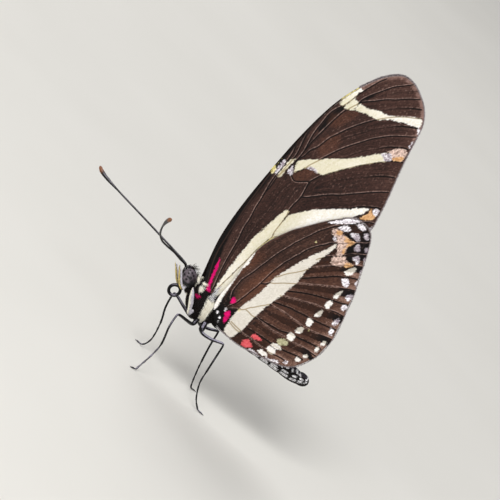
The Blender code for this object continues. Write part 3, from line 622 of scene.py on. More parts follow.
def forewing_marks(flat):
    x, z = flat[:, 0], flat[:, 1]
    marks = {key: union_depth(flat, shapes, 0.2) for key, shapes in FOREWING_MARKS.items()}
    marks["coral"] = marks["green"] = np.full(len(flat), NOT_HERE)
    front = distance(flat, smooth(FOREWING_OUTLINE[:16], 0.4))[0]
    marks["black"] = np.interp(
        z, (14, 18.5, 21.5, 24.6, 28, 31, 35.5, 39, 44, 50), (1.6, 1.15, 0.95, 0.6, 0.45, 0.5, 0.3, 0.25, 0.1, -0.2)
    ) - front
    outer = distance(flat, smooth(((-4.0, 54.5), (-2.9, 51.0), (-2.6, 48.5), (-0.2, 42.0), (1.9, 36.0)), 0.4))[0]
    strip = ease(front, 0.9, 1.2) * ease(front, 2.0, 1.5) * ease(z, 38, 30)
    marks["light"] = (
        0.14 * ease(z, 44, 54) - 0.03 + 0.12 * ease(outer, 3.0, 0.8) + 0.09 * strip
        - 0.45 * ease(marks.pop("dark"), -0.1, 0.2)
        # Painted sheen: a pale strip along the front margin near the tip
        + 0.4 * ease(front, 0.7, 0.3) * ease(z, 47, 51)
    )
    # How strong the painted shade and highlight of the folds are
    marks["crease"] = 0.3 + 0.7 * ease(outer, 5.5, 2.5)
    marks["warm"] = 0.3 * ease(marks["warm"], -0.6, 0.5)
    marks["white"] = 0.35 + 0.45 * ease(z, 47.5, 51) + 0.5 * ease(x, -9, -6) * ease(z, 44, 40) + 0.3 * ease(z, 26, 18)
    marks["ink"] = np.ones(len(flat))
    return marks


def forewing_relief(flat, vein):
    return 0.05 * np.cos(1.1 * vein)


build_membranes(
    "forewing", FOREWING_OUTLINE, FOREWING_VEINS, FOREWING_FOLDS, forewing_lie, forewing_relief, forewing_marks,
    lambda rim: np.zeros(len(rim)),
    wing_finish(
        "forewing_scales", 10, ("0f0908", "38241f", "533a33", "8b6e66"), ("cdc6a2", "d9d2ba", "e6e0d2", "f2efec"),
    ),
)


# Hindwings: the same membrane and scales, outside the forewings. Beyond the pale band they are pleated:
# the veins stand up as ridges and a fold runs down the middle of each space between them, and the slopes
# of the pleats carry painted light and shade.

HINDWING_OUTLINE = (
    (-8.9, 13.3), (-9.3, 15.4), (-9.2, 18.4), (-9.5, 21.6), (-9.2, 25.0), (-7.87, 28.4), (-6.6, 30.4),
    (-4.8, 33.0), (-3.25, 34.8), (-1.75, 36.0), (-0.97, 36.05), (0.05, 36.1), (1.15, 35.7), (2.0, 34.9),
    (3.4, 32.35), (4.6, 29.75), (5.9, 27.0), (6.8, 24.4), (7.9, 21.0), (8.1, 18.9), (7.9, 17.0),
    (6.9, 14.5), (5.7, 13.1), (4.0, 12.3), (1.0, 11.6), (-2.0, 11.0), (-4.6, 11.0), (-6.2, 11.2),
    (-7.6, 11.8),
)
HINDWING_VEINS = {
    "subcosta": (
        (-7.7, 15.7), (-8.1, 16.5), (-8.2, 17.1), (-8.2, 17.8), (-8.2, 18.6), (-7.9, 19.6), (-7.6, 20.6),
        (-7.4, 21.7), (-7.2, 22.7), (-7.0, 23.8), (-6.7, 25.2), (-6.2, 26.8), (-6.0, 27.6), (-5.7, 28.3),
        (-5.4, 29.1), (-5.1, 29.8), (-4.8, 30.6), (-4.5, 31.3), (-4.1, 31.9), (-3.7, 32.6), (-3.3, 33.2),
        (-2.8, 33.7), (-2.3, 34.3), (-1.8, 34.8), (-1.2, 35.5), (-0.8, 36.0),
    ),
    "radius": (
        (-7.1, 14.6), (-6.6, 15.7), (-6.4, 16.6), (-6.2, 17.4), (-6.0, 18.4), (-5.8, 19.2), (-5.7, 19.9),
        (-5.6, 20.9), (-5.5, 22.2), (-5.3, 23.4), (-5.1, 24.5), (-4.8, 25.3), (-4.6, 26.1), (-4.3, 26.8),
        (-4.1, 27.6), (-3.8, 28.3), (-3.4, 29.0), (-3.0, 29.6), (-2.5, 30.2), (-2.1, 30.8), (-1.6, 31.3),
        (-1.0, 31.7), (-0.5, 32.2), (0.0, 32.7), (0.6, 33.1), (1.2, 33.6), (1.8, 34.0), (2.3, 34.5),
    ),
    "stem": ((-7.3, 13.9), (-6.7, 14.4), (-6.0, 14.9), (-5.4, 15.3), (-5.0, 15.7)),
    "first median": (
        (-2.0, 27.7), (-1.7, 28.2), (-1.2, 28.9), (-0.3, 29.8), (0.8, 30.8), (1.2, 31.4), (1.9, 31.9), (2.6, 32.4),
        (3.2, 32.8),
    ),
    "second median": (
        (-4.7, 21.9), (-4.4, 22.3), (-4.0, 23.0), (-3.5, 23.7), (-2.9, 24.4), (-2.3, 25.2), (-2.0, 25.7),
        (-1.6, 26.4), (-1.0, 27.0), (-0.4, 27.6), (0.2, 28.2), (0.9, 28.9), (1.8, 29.7), (2.6, 30.3), (3.3, 30.8),
        (4.1, 31.2),
    ),
    "third median": (
        (-5.7, 19.9), (-5.1, 20.3), (-4.7, 20.8), (-4.1, 21.2), (-3.2, 22.0), (-2.4, 22.6), (-1.6, 23.2),
        (-0.8, 23.8), (0.2, 24.4), (1.1, 25.1), (2.1, 25.7), (2.9, 26.3), (4.0, 26.9), (4.8, 27.4), (5.7, 27.8),
        (6.1, 27.9),
    ),
    "first cubital": (
        (-2.3, 20.3), (-1.6, 20.6), (-0.9, 20.9), (-0.1, 21.3), (0.9, 21.7), (1.8, 22.1), (2.7, 22.5), (3.5, 22.7),
        (4.2, 22.9), (5.5, 23.5), (6.6, 23.7), (7.1, 23.8),
    ),
    "second cubital": (
        (-5.0, 15.7), (-4.6, 16.3), (-4.1, 16.8), (-3.6, 17.4), (-3.1, 17.9), (-2.6, 18.4), (-1.7, 18.5),
        (-0.7, 18.7), (0.2, 18.8), (1.3, 18.8), (2.4, 18.9), (3.4, 18.9), (4.1, 19.0), (5.0, 19.2), (6.1, 19.5),
        (7.3, 19.9), (8.3, 20.1),
    ),
    "first anal": (
        (-5.0, 15.7), (-4.4, 15.7), (-3.6, 15.6), (-3.1, 15.7), (-2.5, 15.7), (-1.2, 15.7), (0.2, 15.7), (1.2, 15.9),
        (2.3, 16.1), (3.6, 16.2), (4.9, 16.5), (6.2, 16.7), (7.7, 16.8),
    ),
    "second anal": (
        (-5.5, 12.8), (-4.6, 12.6), (-3.7, 12.5), (-3.2, 12.6), (-2.2, 12.7), (-1.1, 12.8), (0.1, 12.8), (1.2, 12.9),
        (2.2, 13.0), (3.8, 13.4), (5.1, 13.5),
    ),
    "third anal": ((-5.3, 13.0), (-4.4, 12.9), (-3.2, 12.8)),
}
# Across the pleats from front to back: a whole number at each vein, a half at each ridge, then the fold
HINDWING_PLEATS = (
    (1.0, HINDWING_VEINS["first median"]),
    (2.0, (
        (-2.0, 25.7), (-1.6, 26.4), (-1.0, 27.0), (-0.4, 27.6), (0.2, 28.2), (0.9, 28.9), (1.8, 29.7), (2.6, 30.3),
        (3.3, 30.8), (4.1, 31.2),
    )),
    (2.5, ((-1.9, 24.4), (-1.0, 25.3), (0.0, 26.3), (1.1, 27.2), (2.2, 28.1), (3.2, 28.8), (4.1, 29.3), (4.7, 29.6))),
    (2.65, (
        (-1.8, 24.1), (-0.8, 25.0), (-0.1, 25.7), (0.8, 26.5), (1.6, 27.3), (2.5, 28.0), (3.4, 28.6), (4.1, 29.0),
        (4.9, 29.4),
    )),
    (3.0, (
        (-1.6, 23.2), (-0.8, 23.8), (0.2, 24.4), (1.1, 25.1), (2.1, 25.7), (2.9, 26.3), (4.0, 26.9), (4.8, 27.4),
        (5.7, 27.8), (6.1, 27.9),
    )),
    (3.5, ((-1.9, 21.8), (-0.6, 22.7), (0.7, 23.4), (2.0, 24.1), (3.4, 24.7), (4.8, 25.3), (6.4, 26.0))),
    (3.65, ((-1.8, 21.5), (-0.1, 22.6), (1.2, 23.3), (2.3, 23.8), (3.7, 24.4), (4.7, 24.8), (5.5, 25.1), (6.4, 25.5))),
    (4.0, HINDWING_VEINS["first cubital"]),
    (4.5, (
        (-2.7, 19.2), (-1.7, 19.6), (-0.9, 20.0), (0.1, 20.2), (1.3, 20.6), (2.6, 20.8), (3.6, 21.0), (4.9, 21.3),
        (6.2, 21.6), (7.4, 21.9),
    )),
    (4.65, (
        (-2.7, 18.8), (-1.8, 19.2), (-0.8, 19.5), (0.1, 19.8), (1.2, 20.0), (2.5, 20.3), (3.7, 20.5), (5.0, 20.8),
        (6.2, 21.1), (7.5, 21.5),
    )),
    (5.0, (
        (-2.6, 18.4), (-1.7, 18.5), (-0.7, 18.7), (0.2, 18.8), (1.3, 18.8), (2.4, 18.9), (3.4, 18.9), (4.1, 19.0),
        (5.0, 19.2), (6.1, 19.5), (7.3, 19.9), (8.3, 20.1),
    )),
    (5.5, (
        (-3.1, 16.2), (-1.6, 16.2), (0.0, 16.6), (1.2, 16.9), (2.3, 17.2), (3.3, 17.5), (4.4, 17.7), (5.9, 18.0),
        (7.5, 18.3),
    )),
    (5.65, (
        (-3.1, 15.9), (-1.6, 16.0), (-0.2, 16.2), (1.1, 16.4), (2.4, 16.9), (3.7, 17.2), (5.0, 17.5), (6.3, 17.8),
        (7.6, 18.0),
    )),
    (6.0, (
        (-3.1, 15.7), (-2.5, 15.7), (-1.2, 15.7), (0.2, 15.7), (1.2, 15.9), (2.3, 16.1), (3.6, 16.2), (4.9, 16.5),
        (6.2, 16.7), (7.7, 16.8),
    )),
    (6.5, ((-3.6, 14.3), (-2.1, 14.6), (-0.2, 14.6), (1.6, 14.8), (3.1, 14.9), (4.2, 15.1), (5.5, 15.4), (6.4, 15.5))),
    (6.65, ((-3.2, 13.7), (-1.5, 13.9), (0.3, 14.1), (2.1, 14.2), (3.4, 14.5), (4.5, 14.8), (5.6, 15.1), (6.6, 15.2))),
    (7.0, ((-3.2, 12.6), (-2.2, 12.7), (-1.1, 12.8), (0.1, 12.8), (1.2, 12.9), (2.2, 13.0), (3.8, 13.4), (5.1, 13.5))),
)
HINDWING_BAND = (
    (-1.33, 31.33), (-1.44, 31.14), (-1.68, 30.54), (-1.93, 29.74), (-2.33, 28.91), (-2.74, 28.07), (-3.05, 27.12),
    (-3.4, 26.23), (-3.7, 25.28), (-4.0, 24.33), (-4.3, 23.37), (-4.55, 22.37), (-4.71, 21.25), (-4.75, 19.99),
    (-4.9, 18.85), (-5.2, 17.43), (-5.57, 16.32), (-5.57, 15.67), (-5.62, 15.06), (-5.75, 14.56), (-5.67, 13.83),
    (-5.58, 13.09), (-5.47, 12.35), (-5.33, 11.65), (-5.07, 11.26), (-4.55, 11.01), (-3.99, 10.92), (-3.7, 11.02),
    (-3.47, 11.41), (-3.35, 12.13), (-3.24, 12.64), (-3.18, 13.22), (-3.2, 14.31), (-3.21, 15.18), (-3.1, 15.93),
    (-2.95, 17.07), (-2.8, 18.0), (-2.65, 18.49), (-2.43, 19.33), (-2.18, 20.14), (-1.98, 20.58), (-1.99, 21.24),
    (-1.95, 22.05), (-1.82, 22.76), (-1.7, 23.27), (-1.78, 24.0), (-1.9, 24.99), (-1.98, 25.73), (-1.79, 26.58),
    (-1.65, 27.5), (-1.56, 28.26), (-1.31, 29.27), (-1.16, 30.18), (-1.08, 30.84),
)
HINDWING_MARKS = {
    "cream": (
        (
            (-9.57, 23.43), (-9.2, 21.95), (-9.03, 21.11), (-9.15, 20.16), (-9.17, 19.31), (-9.06, 18.3),
            (-8.99, 17.35), (-8.91, 16.59), (-8.86, 15.88), (-8.62, 14.74), (-8.34, 13.37), (-8.67, 12.88),
            (-9.92, 14.05), (-10.39, 15.43), (-10.6, 17.85), (-10.34, 20.63), (-10.24, 22.67),
        ),
        (
            (2.38, 28.88), (2.53, 29.4), (2.86, 30.01), (3.27, 30.51), (3.53, 30.33), (3.51, 29.72), (3.42, 29.06),
            (2.95, 28.72),
        ),
        (
            (4.14, 26.78), (3.96, 26.43), (3.72, 25.83), (3.73, 25.24), (3.96, 25.03), (4.42, 25.27), (4.31, 25.82),
            (4.23, 26.45),
        ),
        ((4.13, 24.57), (3.72, 24.12), (3.65, 23.67), (3.92, 23.1), (4.37, 23.18), (4.45, 23.74), (4.36, 24.27)),
        ((4.06, 22.52), (3.7, 22.32), (3.57, 21.71), (3.54, 21.1), (3.88, 21.15), (4.26, 21.59), (4.23, 22.16)),
        ((3.3, 20.39), (3.25, 20.02), (3.46, 19.44), (3.93, 19.35), (4.18, 19.73), (4.1, 20.41), (3.71, 20.48)),
        ((3.17, 18.79), (2.98, 18.34), (2.88, 17.8), (3.29, 17.67), (3.69, 17.98), (3.79, 18.59), (3.51, 18.84)),
        ((2.47, 17.17), (2.4, 16.7), (2.6, 16.21), (3.12, 16.1), (3.51, 16.31), (3.46, 17.07), (3.04, 17.29)),
        (
            (1.55, 14.51), (1.38, 14.21), (1.5, 13.98), (2.27, 14.02), (2.97, 14.21), (3.2, 14.5), (2.76, 14.66),
            (2.12, 14.73),
        ),
        (
            (1.44, 13.76), (1.32, 13.37), (1.51, 13.06), (2.04, 12.9), (2.63, 13.0), (2.79, 13.45), (2.64, 13.77),
            (2.05, 13.84),
        ),
        (
            (0.71, 12.45), (0.65, 12.2), (0.97, 11.96), (1.66, 11.94), (2.22, 12.18), (2.23, 12.44), (1.77, 12.66),
            (1.16, 12.59),
        ),
        ((7.18, 19.29), (7.59, 19.43), (7.72, 19.06), (7.62, 18.57), (7.21, 18.58), (7.12, 18.87)),
        ((6.97, 17.76), (7.16, 17.99), (7.48, 17.91), (7.5, 17.56), (7.43, 17.24), (7.04, 17.35)),
        ((6.21, 15.88), (6.45, 16.16), (6.8, 16.16), (6.85, 15.82), (6.55, 15.62), (6.23, 15.61)),
        ((5.69, 14.95), (6.03, 15.01), (6.42, 15.0), (6.37, 14.63), (6.07, 14.42), (5.7, 14.51)),
    ),
    "violet": (
        (
            (-4.45, 32.97), (-3.85, 33.81), (-3.21, 34.6), (-2.41, 35.42), (-1.68, 35.9), (-1.0, 36.07),
            (-1.2, 35.58), (-1.91, 34.86), (-2.69, 34.24), (-3.48, 33.62),
        ),
        (
            (-2.85, 33.23), (-2.64, 33.75), (-2.12, 34.25), (-1.58, 34.4), (-1.18, 34.23), (-1.34, 33.81),
            (-1.75, 33.4), (-2.15, 33.32), (-2.58, 33.26),
        ),
        (
            (-0.85, 33.76), (-0.46, 34.12), (0.02, 34.45), (0.67, 34.09), (0.93, 33.82), (0.63, 33.56),
            (0.04, 33.57), (-0.55, 33.57),
        ),
        ((0.93, 32.42), (0.95, 32.98), (1.22, 33.4), (1.7, 33.07), (2.01, 32.63), (1.93, 32.43), (1.38, 32.3)),
        (
            (1.85, 31.3), (1.97, 31.64), (2.38, 32.04), (2.85, 31.65), (3.17, 31.12), (3.03, 30.89), (2.44, 31.01),
            (2.08, 31.0),
        ),
        ((2.92, 27.75), (3.06, 28.06), (3.56, 28.48), (4.06, 28.1), (4.32, 27.63), (4.29, 27.3), (3.67, 27.28)),
        (
            (-0.96, 35.32), (-0.95, 35.63), (-0.51, 36.0), (-0.04, 35.9), (0.44, 35.7), (0.37, 35.34),
            (-0.06, 35.18), (-0.54, 35.17),
        ),
        ((0.68, 35.0), (0.99, 35.4), (1.39, 35.2), (1.71, 34.77), (1.51, 34.5), (0.95, 34.63)),
        ((2.34, 33.7), (2.6, 33.76), (2.96, 33.33), (2.82, 33.11), (2.37, 33.23)),
        ((3.23, 31.96), (3.19, 32.32), (3.42, 32.46), (3.78, 32.03), (3.63, 31.84)),
        ((4.11, 30.66), (4.43, 30.62), (4.58, 30.52), (4.64, 30.13), (4.34, 30.21), (4.1, 30.41)),
        ((4.76, 28.49), (4.75, 28.98), (5.05, 29.22), (5.36, 28.79), (5.44, 28.42), (5.1, 28.37)),
        ((5.13, 26.51), (5.36, 26.91), (5.9, 27.06), (6.01, 26.61), (5.97, 26.12), (5.54, 25.96), (5.15, 26.13)),
        ((5.74, 25.09), (6.39, 25.38), (6.57, 24.93), (6.39, 24.48), (5.86, 24.43), (5.69, 24.79)),
        ((6.41, 22.74), (6.66, 23.11), (6.9, 23.01), (7.06, 22.45), (6.94, 21.94), (6.59, 21.75), (6.36, 22.16)),
        ((6.78, 21.26), (7.14, 21.36), (7.38, 21.13), (7.53, 20.59), (7.41, 20.4), (6.94, 20.59), (6.76, 20.92)),
        ((-2.38, 31.74), (-2.33, 32.08), (-1.96, 31.99), (-1.68, 31.73), (-1.85, 31.49), (-2.2, 31.59)),
        ((-0.57, 11.3), (-0.34, 11.59), (0.32, 11.71), (1.01, 11.69), (1.09, 11.5), (0.47, 11.33), (-0.12, 11.24)),
        ((4.66, 13.52), (4.96, 13.72), (5.24, 13.62), (5.19, 13.26), (4.86, 13.08), (4.61, 13.21)),
        ((-7.16, 13.62), (-7.29, 13.91), (-7.21, 14.21), (-7.07, 14.16), (-6.99, 13.86), (-7.01, 13.6)),
        ((-7.9, 12.69), (-7.88, 12.97), (-7.6, 12.94), (-7.6, 12.67)),
        ((-7.08, 12.27), (-7.1, 12.55), (-6.8, 12.52), (-6.83, 12.24)),
        ((-6.79, 11.62), (-6.78, 11.87), (-6.53, 11.84), (-6.53, 11.6)),
        ((2.17, 12.01), (2.87, 12.31), (3.51, 12.66), (4.23, 12.82), (4.11, 12.42), (3.45, 12.09), (2.85, 11.9)),
    ),
    "green": (
        (
            (1.91, 15.61), (1.75, 15.25), (1.81, 14.92), (2.34, 14.81), (2.93, 15.02), (3.28, 15.49), (3.23, 15.87),
            (2.7, 15.92), (2.23, 15.79),
        ),
    ),
    "beige": (
        (
            (-3.2, 32.34), (-3.24, 32.71), (-2.85, 33.13), (-2.37, 33.24), (-2.0, 33.25), (-1.52, 33.05),
            (-0.94, 33.04), (-0.3, 32.98), (0.33, 33.25), (0.59, 33.27), (0.38, 32.76), (0.26, 32.25), (0.19, 31.9),
            (0.39, 31.57), (0.48, 31.25), (0.46, 30.84), (0.01, 30.17), (-0.23, 30.07), (-0.66, 30.7),
            (-0.96, 31.24), (-1.27, 31.48), (-1.68, 31.73), (-2.04, 32.12), (-2.58, 31.97), (-2.92, 32.09),
        ),
        (
            (0.1, 28.56), (-0.16, 28.74), (-0.3, 29.12), (-0.34, 29.58), (0.0, 29.96), (0.53, 30.44), (0.99, 30.69),
            (1.19, 30.46), (1.72, 30.31), (2.2, 30.31), (2.66, 30.44), (2.45, 30.03), (1.63, 29.44), (0.86, 28.8),
        ),
    ),
    "orange": (
        ((-2.65, 32.8), (-2.34, 33.2), (-1.89, 33.24), (-1.58, 33.0), (-1.94, 32.54), (-2.35, 32.46)),
        (
            (-1.37, 32.98), (-0.62, 33.01), (0.05, 33.12), (0.56, 33.31), (0.49, 32.85), (0.29, 32.22), (0.18, 31.8),
            (-0.08, 31.88), (-0.11, 32.45), (-0.81, 32.36), (-0.79, 32.67),
        ),
        ((-0.1, 31.36), (0.12, 31.65), (0.43, 31.31), (0.46, 30.84), (0.14, 30.87)),
        ((1.6, 29.91), (1.96, 30.25), (2.72, 30.44), (2.53, 29.94), (1.84, 29.42)),
    ),
    "coral": (
        (
            (-1.9, 11.24), (-1.87, 11.46), (-2.02, 11.94), (-1.78, 12.32), (-1.42, 12.57), (-0.95, 12.36),
            (-0.31, 12.09), (-0.37, 11.83), (-0.7, 11.55), (-1.19, 11.24), (-1.61, 11.18),
        ),
        (
            (-1.55, 13.19), (-1.6, 13.5), (-1.32, 13.83), (-0.88, 13.77), (-0.4, 13.77), (0.06, 13.65),
            (-0.23, 13.37), (-0.78, 13.13), (-1.21, 13.07),
        ),
    ),
    "crimson": (
        (
            (-7.27, 14.97), (-7.51, 15.45), (-7.58, 15.86), (-7.48, 16.07), (-7.1, 15.96), (-6.77, 15.75),
            (-6.76, 15.48), (-6.94, 15.14),
        ),
        (
            (-6.91, 13.28), (-6.9, 13.7), (-6.7, 14.01), (-6.32, 14.02), (-6.07, 13.7), (-6.0, 13.34),
            (-5.92, 13.15), (-6.16, 12.99), (-6.59, 13.04),
        ),
        (
            (-6.51, 12.59), (-6.57, 12.91), (-6.24, 12.97), (-5.87, 12.84), (-5.85, 12.54), (-5.88, 12.16),
            (-6.17, 12.26),
        ),
    ),
    "yellow": (
        ((-5.8, 15.05), (-5.57, 15.23), (-5.43, 15.11), (-5.52, 14.95), (-5.71, 14.91)),
        ((-4.01, 29.69), (-3.87, 29.8), (-3.72, 29.67), (-3.83, 29.54)),
        ((4.26, 19.05), (4.41, 19.2), (4.58, 19.06), (4.42, 18.9)),
    ),
    "black": (
        (
            (-8.5, 12.1), (-8.6, 12.9), (-8.3, 13.5), (-7.7, 13.93), (-6.87, 14.3), (-6.07, 14.92), (-6.13, 14.34),
            (-6.05, 13.71), (-5.74, 12.95), (-5.58, 12.25), (-5.28, 11.59), (-5.3, 11.0), (-6.3, 10.9), (-7.2, 11.3),
            (-8.1, 11.4),
        ),
        (
            (-1.95, 32.99), (-1.23, 33.48), (-0.7, 33.96), (-0.44, 33.66), (0.33, 33.45), (-0.19, 33.18),
            (-0.93, 33.15), (-1.52, 33.05),
        ),
        (
            (0.27, 31.87), (0.42, 32.5), (0.8, 33.15), (0.91, 32.6), (1.34, 31.97), (1.2, 31.42), (0.8, 31.07),
            (0.42, 31.4),
        ),
        ((0.98, 30.76), (1.61, 31.4), (1.94, 31.09), (2.25, 30.85), (2.67, 30.64), (2.1, 30.42), (1.57, 30.48)),
        ((1.91, 28.49), (2.15, 29.08), (2.64, 29.82), (2.11, 29.55), (1.76, 28.86)),
    ),
    "dark": (
        (
            (-3.62, 11.79), (-3.13, 12.53), (-2.69, 13.53), (-1.5, 14.14), (0.04, 14.14), (0.93, 13.59),
            (1.03, 12.63), (-0.05, 11.69), (-1.3, 11.15), (-2.58, 11.07), (-3.56, 10.98),
        ),
        (
            (-7.06, 14.3), (-5.98, 14.82), (-5.66, 14.89), (-5.67, 13.83), (-5.52, 13.03), (-5.48, 12.14),
            (-5.07, 11.26), (-6.15, 10.96), (-7.28, 12.63), (-7.59, 13.61),
        ),
        (
            (-8.73, 16.17), (-8.18, 16.42), (-7.62, 16.12), (-7.11, 15.0), (-7.42, 14.06), (-8.18, 13.2),
            (-8.54, 14.02), (-8.68, 15.46),
        ),
    ),
}


def hindwing_lie(x, z):
    """The hindwing lies outside the forewing, and stands out round the abdomen."""
    return 1.95 - 1.0 * ease(z, 14.2, 22.0) - 0.1 * ease(z, 26, 34) - 0.15 * ease(14.0 - z, 0.0, 2.5)


def pleat_of(points):
    """Where each point lies across the pleats, between the numbers of the lines at both sides of it."""
    numbers = np.array([number for number, _ in HINDWING_PLEATS])
    far = np.array([distance(points, smooth(line, 0.5))[0] for _, line in HINDWING_PLEATS]) + 1e-6
    first = far.argmin(0)
    rows = np.arange(len(points))
    below = np.where(first > 0, far[np.maximum(first - 1, 0), rows], 1e9)
    above = np.where(first < len(far) - 1, far[np.minimum(first + 1, len(far) - 1), rows], 1e9)
    other = np.clip(first + np.where(below < above, -1, 1), 0, len(far) - 1)
    share = far[first, rows] / (far[first, rows] + np.minimum(below, above))
    return numbers[first] + (numbers[other] - numbers[first]) * share


def pleat_reach(points):
    """0 on the band and in front of it, 1 beyond it."""
    edge = smooth((
        (-0.9, 31.4), (-1.9, 28.0), (-1.9, 25.7), (-1.9, 23.4), (-2.5, 19.8), (-2.7, 15.6), (-3.2, 12.6), (-4.6, 11.0),
    ), 0.4)
    far, side = distance(points, edge)
    return ease(far * side, -0.1, 0.5)


def hindwing_relief(flat, vein):
    """Up from each vein to the ridge, down into the fold and up to the next vein."""
    return pleat_reach(flat) * 0.12 * np.interp(pleat_of(flat) % 1, (0, 0.5, 0.65, 1), (0.2, 1, -1, 0.2))


def hindwing_scallop(rim):
    """The margin reaches out a little between the folds."""
    return 0.06 * np.cos(2 * math.pi * (pleat_of(rim) - 0.15)) * pleat_reach(rim)


def hindwing_marks(flat):
    x, z = flat[:, 0], flat[:, 1]
    marks = {key: union_depth(flat, shapes, 0.2) for key, shapes in HINDWING_MARKS.items()}
    band = depth_in(flat, HINDWING_BAND, 0.25)
    reach = pleat_reach(flat)
    # Painted light and shade on the pleats: the side of each pleat that faces back is painted dark as shade, and the
    # ridge and the side beyond the fold are painted light as where the light falls
    turned = np.interp(
        pleat_of(flat) % 1, (0, 0.07, 0.35, 0.45, 0.52, 0.6, 0.68, 0.85, 0.97, 1),
        (-0.1, -0.62, -0.55, -0.28, 0.2, 0.08, -0.05, 0.1, 0.16, -0.1),
    )
    outer = ease(distance(flat, smooth(HINDWING_OUTLINE[12:24], 0.4))[0], 3.4, 0.6)
    # lit: painted light on the lit sides of the pleats near the margin, on top of the paler tone of the margin itself
    lit = outer * (0.1 + 1.45 * np.maximum(turned, 0)) - 0.11 * (1 - outer)
    marks["light"] = reach * (turned * (1 - 0.15 * outer) + lit) - 0.4 * ease(marks.pop("dark"), -0.3, 0.3)
    front = ease(-2.6 - x, 0, 1.5) * ease(z, 14, 18) * ease(z, 25, 21)
    off_vein = ease(distance(flat, smooth(HINDWING_VEINS["subcosta"], 0.4))[0], 0.2, 1.2)
    marks["warm"] = 0.2 * reach * (1 - outer) + 0.5 * front * off_vein
    # On the pleats the spots are painted greyer on the sides painted as shade
    marks["white"] = np.where(band > -0.2, 0.42, 0.8 + reach * np.minimum(turned, 0) * 1.6)
    marks["cream"] = np.maximum(marks["cream"], band)
    marks["ink"] = 1 - 0.9 * reach * ease(z, 28.5, 27.5) * ease(outer, 0.5, 0.2)
    # How strong the painted shade and highlight of the folds are
    marks["crease"] = 0.25 + 0.75 * reach
    return marks


build_membranes(
    "hindwing", HINDWING_OUTLINE, HINDWING_VEINS, [line for number, line in HINDWING_PLEATS if number % 1 > 0.6],
    hindwing_lie, hindwing_relief, hindwing_marks, hindwing_scallop,
    wing_finish(
        "hindwing_scales", 40, ("0a0505", "35221c", "5a3f34", "98786a"), ("bdb6aa", "d3ccc0", "e2dcd3", "f4f1ee"),
    ),
)


# Body: thorax, head and abdomen under one skin of dark chitin, rounded and joined by a fine remesh so
# that neck and waist run through without a seam. The marks are the same as on the coat over it.

BODY_LOBES = (
    ((-9.45, 0.0, 12.15), (3.0, 1.78, 2.5), 20), ((-10.35, 0.0, 13.2), (2.0, 1.55, 1.7), 20),
    ((-14.0, 0.0, 13.85), (0.95, 0.66, 1.25), -43), ((-12.9, 0.0, 13.5), (0.9, 0.6, 0.8), -20),
    ((-12.75, 0.0, 12.55), (0.75, 0.55, 0.75), 0), ((-7.2, 0.0, 11.6), (1.6, 0.9, 1.0), 0),
    ((-12.64, -0.42, 14.38), (0.58, 0.2, 0.19), 50), ((-12.64, 0.42, 14.38), (0.58, 0.2, 0.19), 50),
    ((-11.7, -1.38, 13.84), (0.46, 0.25, 0.31), 65), ((-11.7, 1.38, 13.84), (0.46, 0.25, 0.31), 65),
    ((-11.93, -1.24, 14.66), (0.26, 0.25, 0.22), 0), ((-11.93, 1.24, 14.66), (0.26, 0.25, 0.22), 0),
)
ABDOMEN_LINE = smooth((
    (-7.4, 0.0, 11.5), (-3.0, 0.0, 11.6), (3.0, 0.0, 11.95), (7.4, 0.0, 12.15), (10.1, 0.0, 12.55),
), 0.1)
# Balls along that line as half height and half length; each is a little narrower than it is high
ABDOMEN_BALLS = (
    (0.95, 2.2), (1.05, 3.0), (1.09, 3.2), (1.1, 3.2), (1.1, 3.2), (1.11, 3.2), (1.11, 3.1), (0.97, 1.3),
)
ABDOMEN_NARROWER = 0.9
SKIN_VOXEL = 0.00011
ABDOMEN_RINGS = (-6.8, -5.05, -3.3, -1.55, 0.2, 1.95, 3.67, 5.55, 7.3, 8.55, 9.45, 10.4)


def points_of(obj):
    """Where the points of a piece lie, in millimetres."""
    return np.array([v.co for v in obj.data.vertices]) * 1000 + np.array(STANCE_ORIGIN)


def finish_primitive(name, finish):
    """The primitive just shaped becomes a piece: its place goes into its mesh and it rides on the body."""
    obj = bpy.context.object
    obj.name = obj.data.name = name
    bpy.ops.object.transform_apply(location=True, rotation=True, scale=True)
    obj.data.materials.clear()
    obj.data.materials.append(finish.material)
    bpy.ops.object.shade_smooth()
    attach(obj, "root")
    return obj


def add_ball(centre, half, pitch, segments=32, rings=20):
    bpy.ops.object.select_all(action="DESELECT")
    bpy.ops.mesh.primitive_uv_sphere_add(
        segments=segments, ring_count=rings, radius=0.001, location=place(centre),
        rotation=(0, math.radians(pitch), 0), scale=half,
    )
    return bpy.context.object


# violet is a painted sheen over the abdomen's back and the colour of some crown hairs
BODY_COLOURS = (
    ("violet", "4d4652", "151216"), ("cream", "fffdf2", "dcd3be"), ("white", "fffefe", "e2dee2"),
    ("crimson", "dc0068", "98003e"),
)


def body_finish(name, roughness):
    finish = Finish(name, {"Roughness": roughness, "Specular IOR Level": 0.2})
    fleck = finish.grain(5, (1, 1, 1), 0, 3)
    colour = finish.mix(fleck * 0.5, tint("040303"), tint("1f1716"))
    ragged = (finish.grain(6, (1, 1, 1), 0, 2) - 0.5) * 0.14
    for key, code, other in BODY_COLOURS:
        patch = finish.mix(fleck, tint(other), tint(code))
        colour = finish.mix((finish.read(key) + ragged).from_edge(0.06), colour, patch)
    finish.wear(colour, (fleck * 0.3 + roughness - 0.15).held(), fleck, 0.6, 0.05)
    return finish


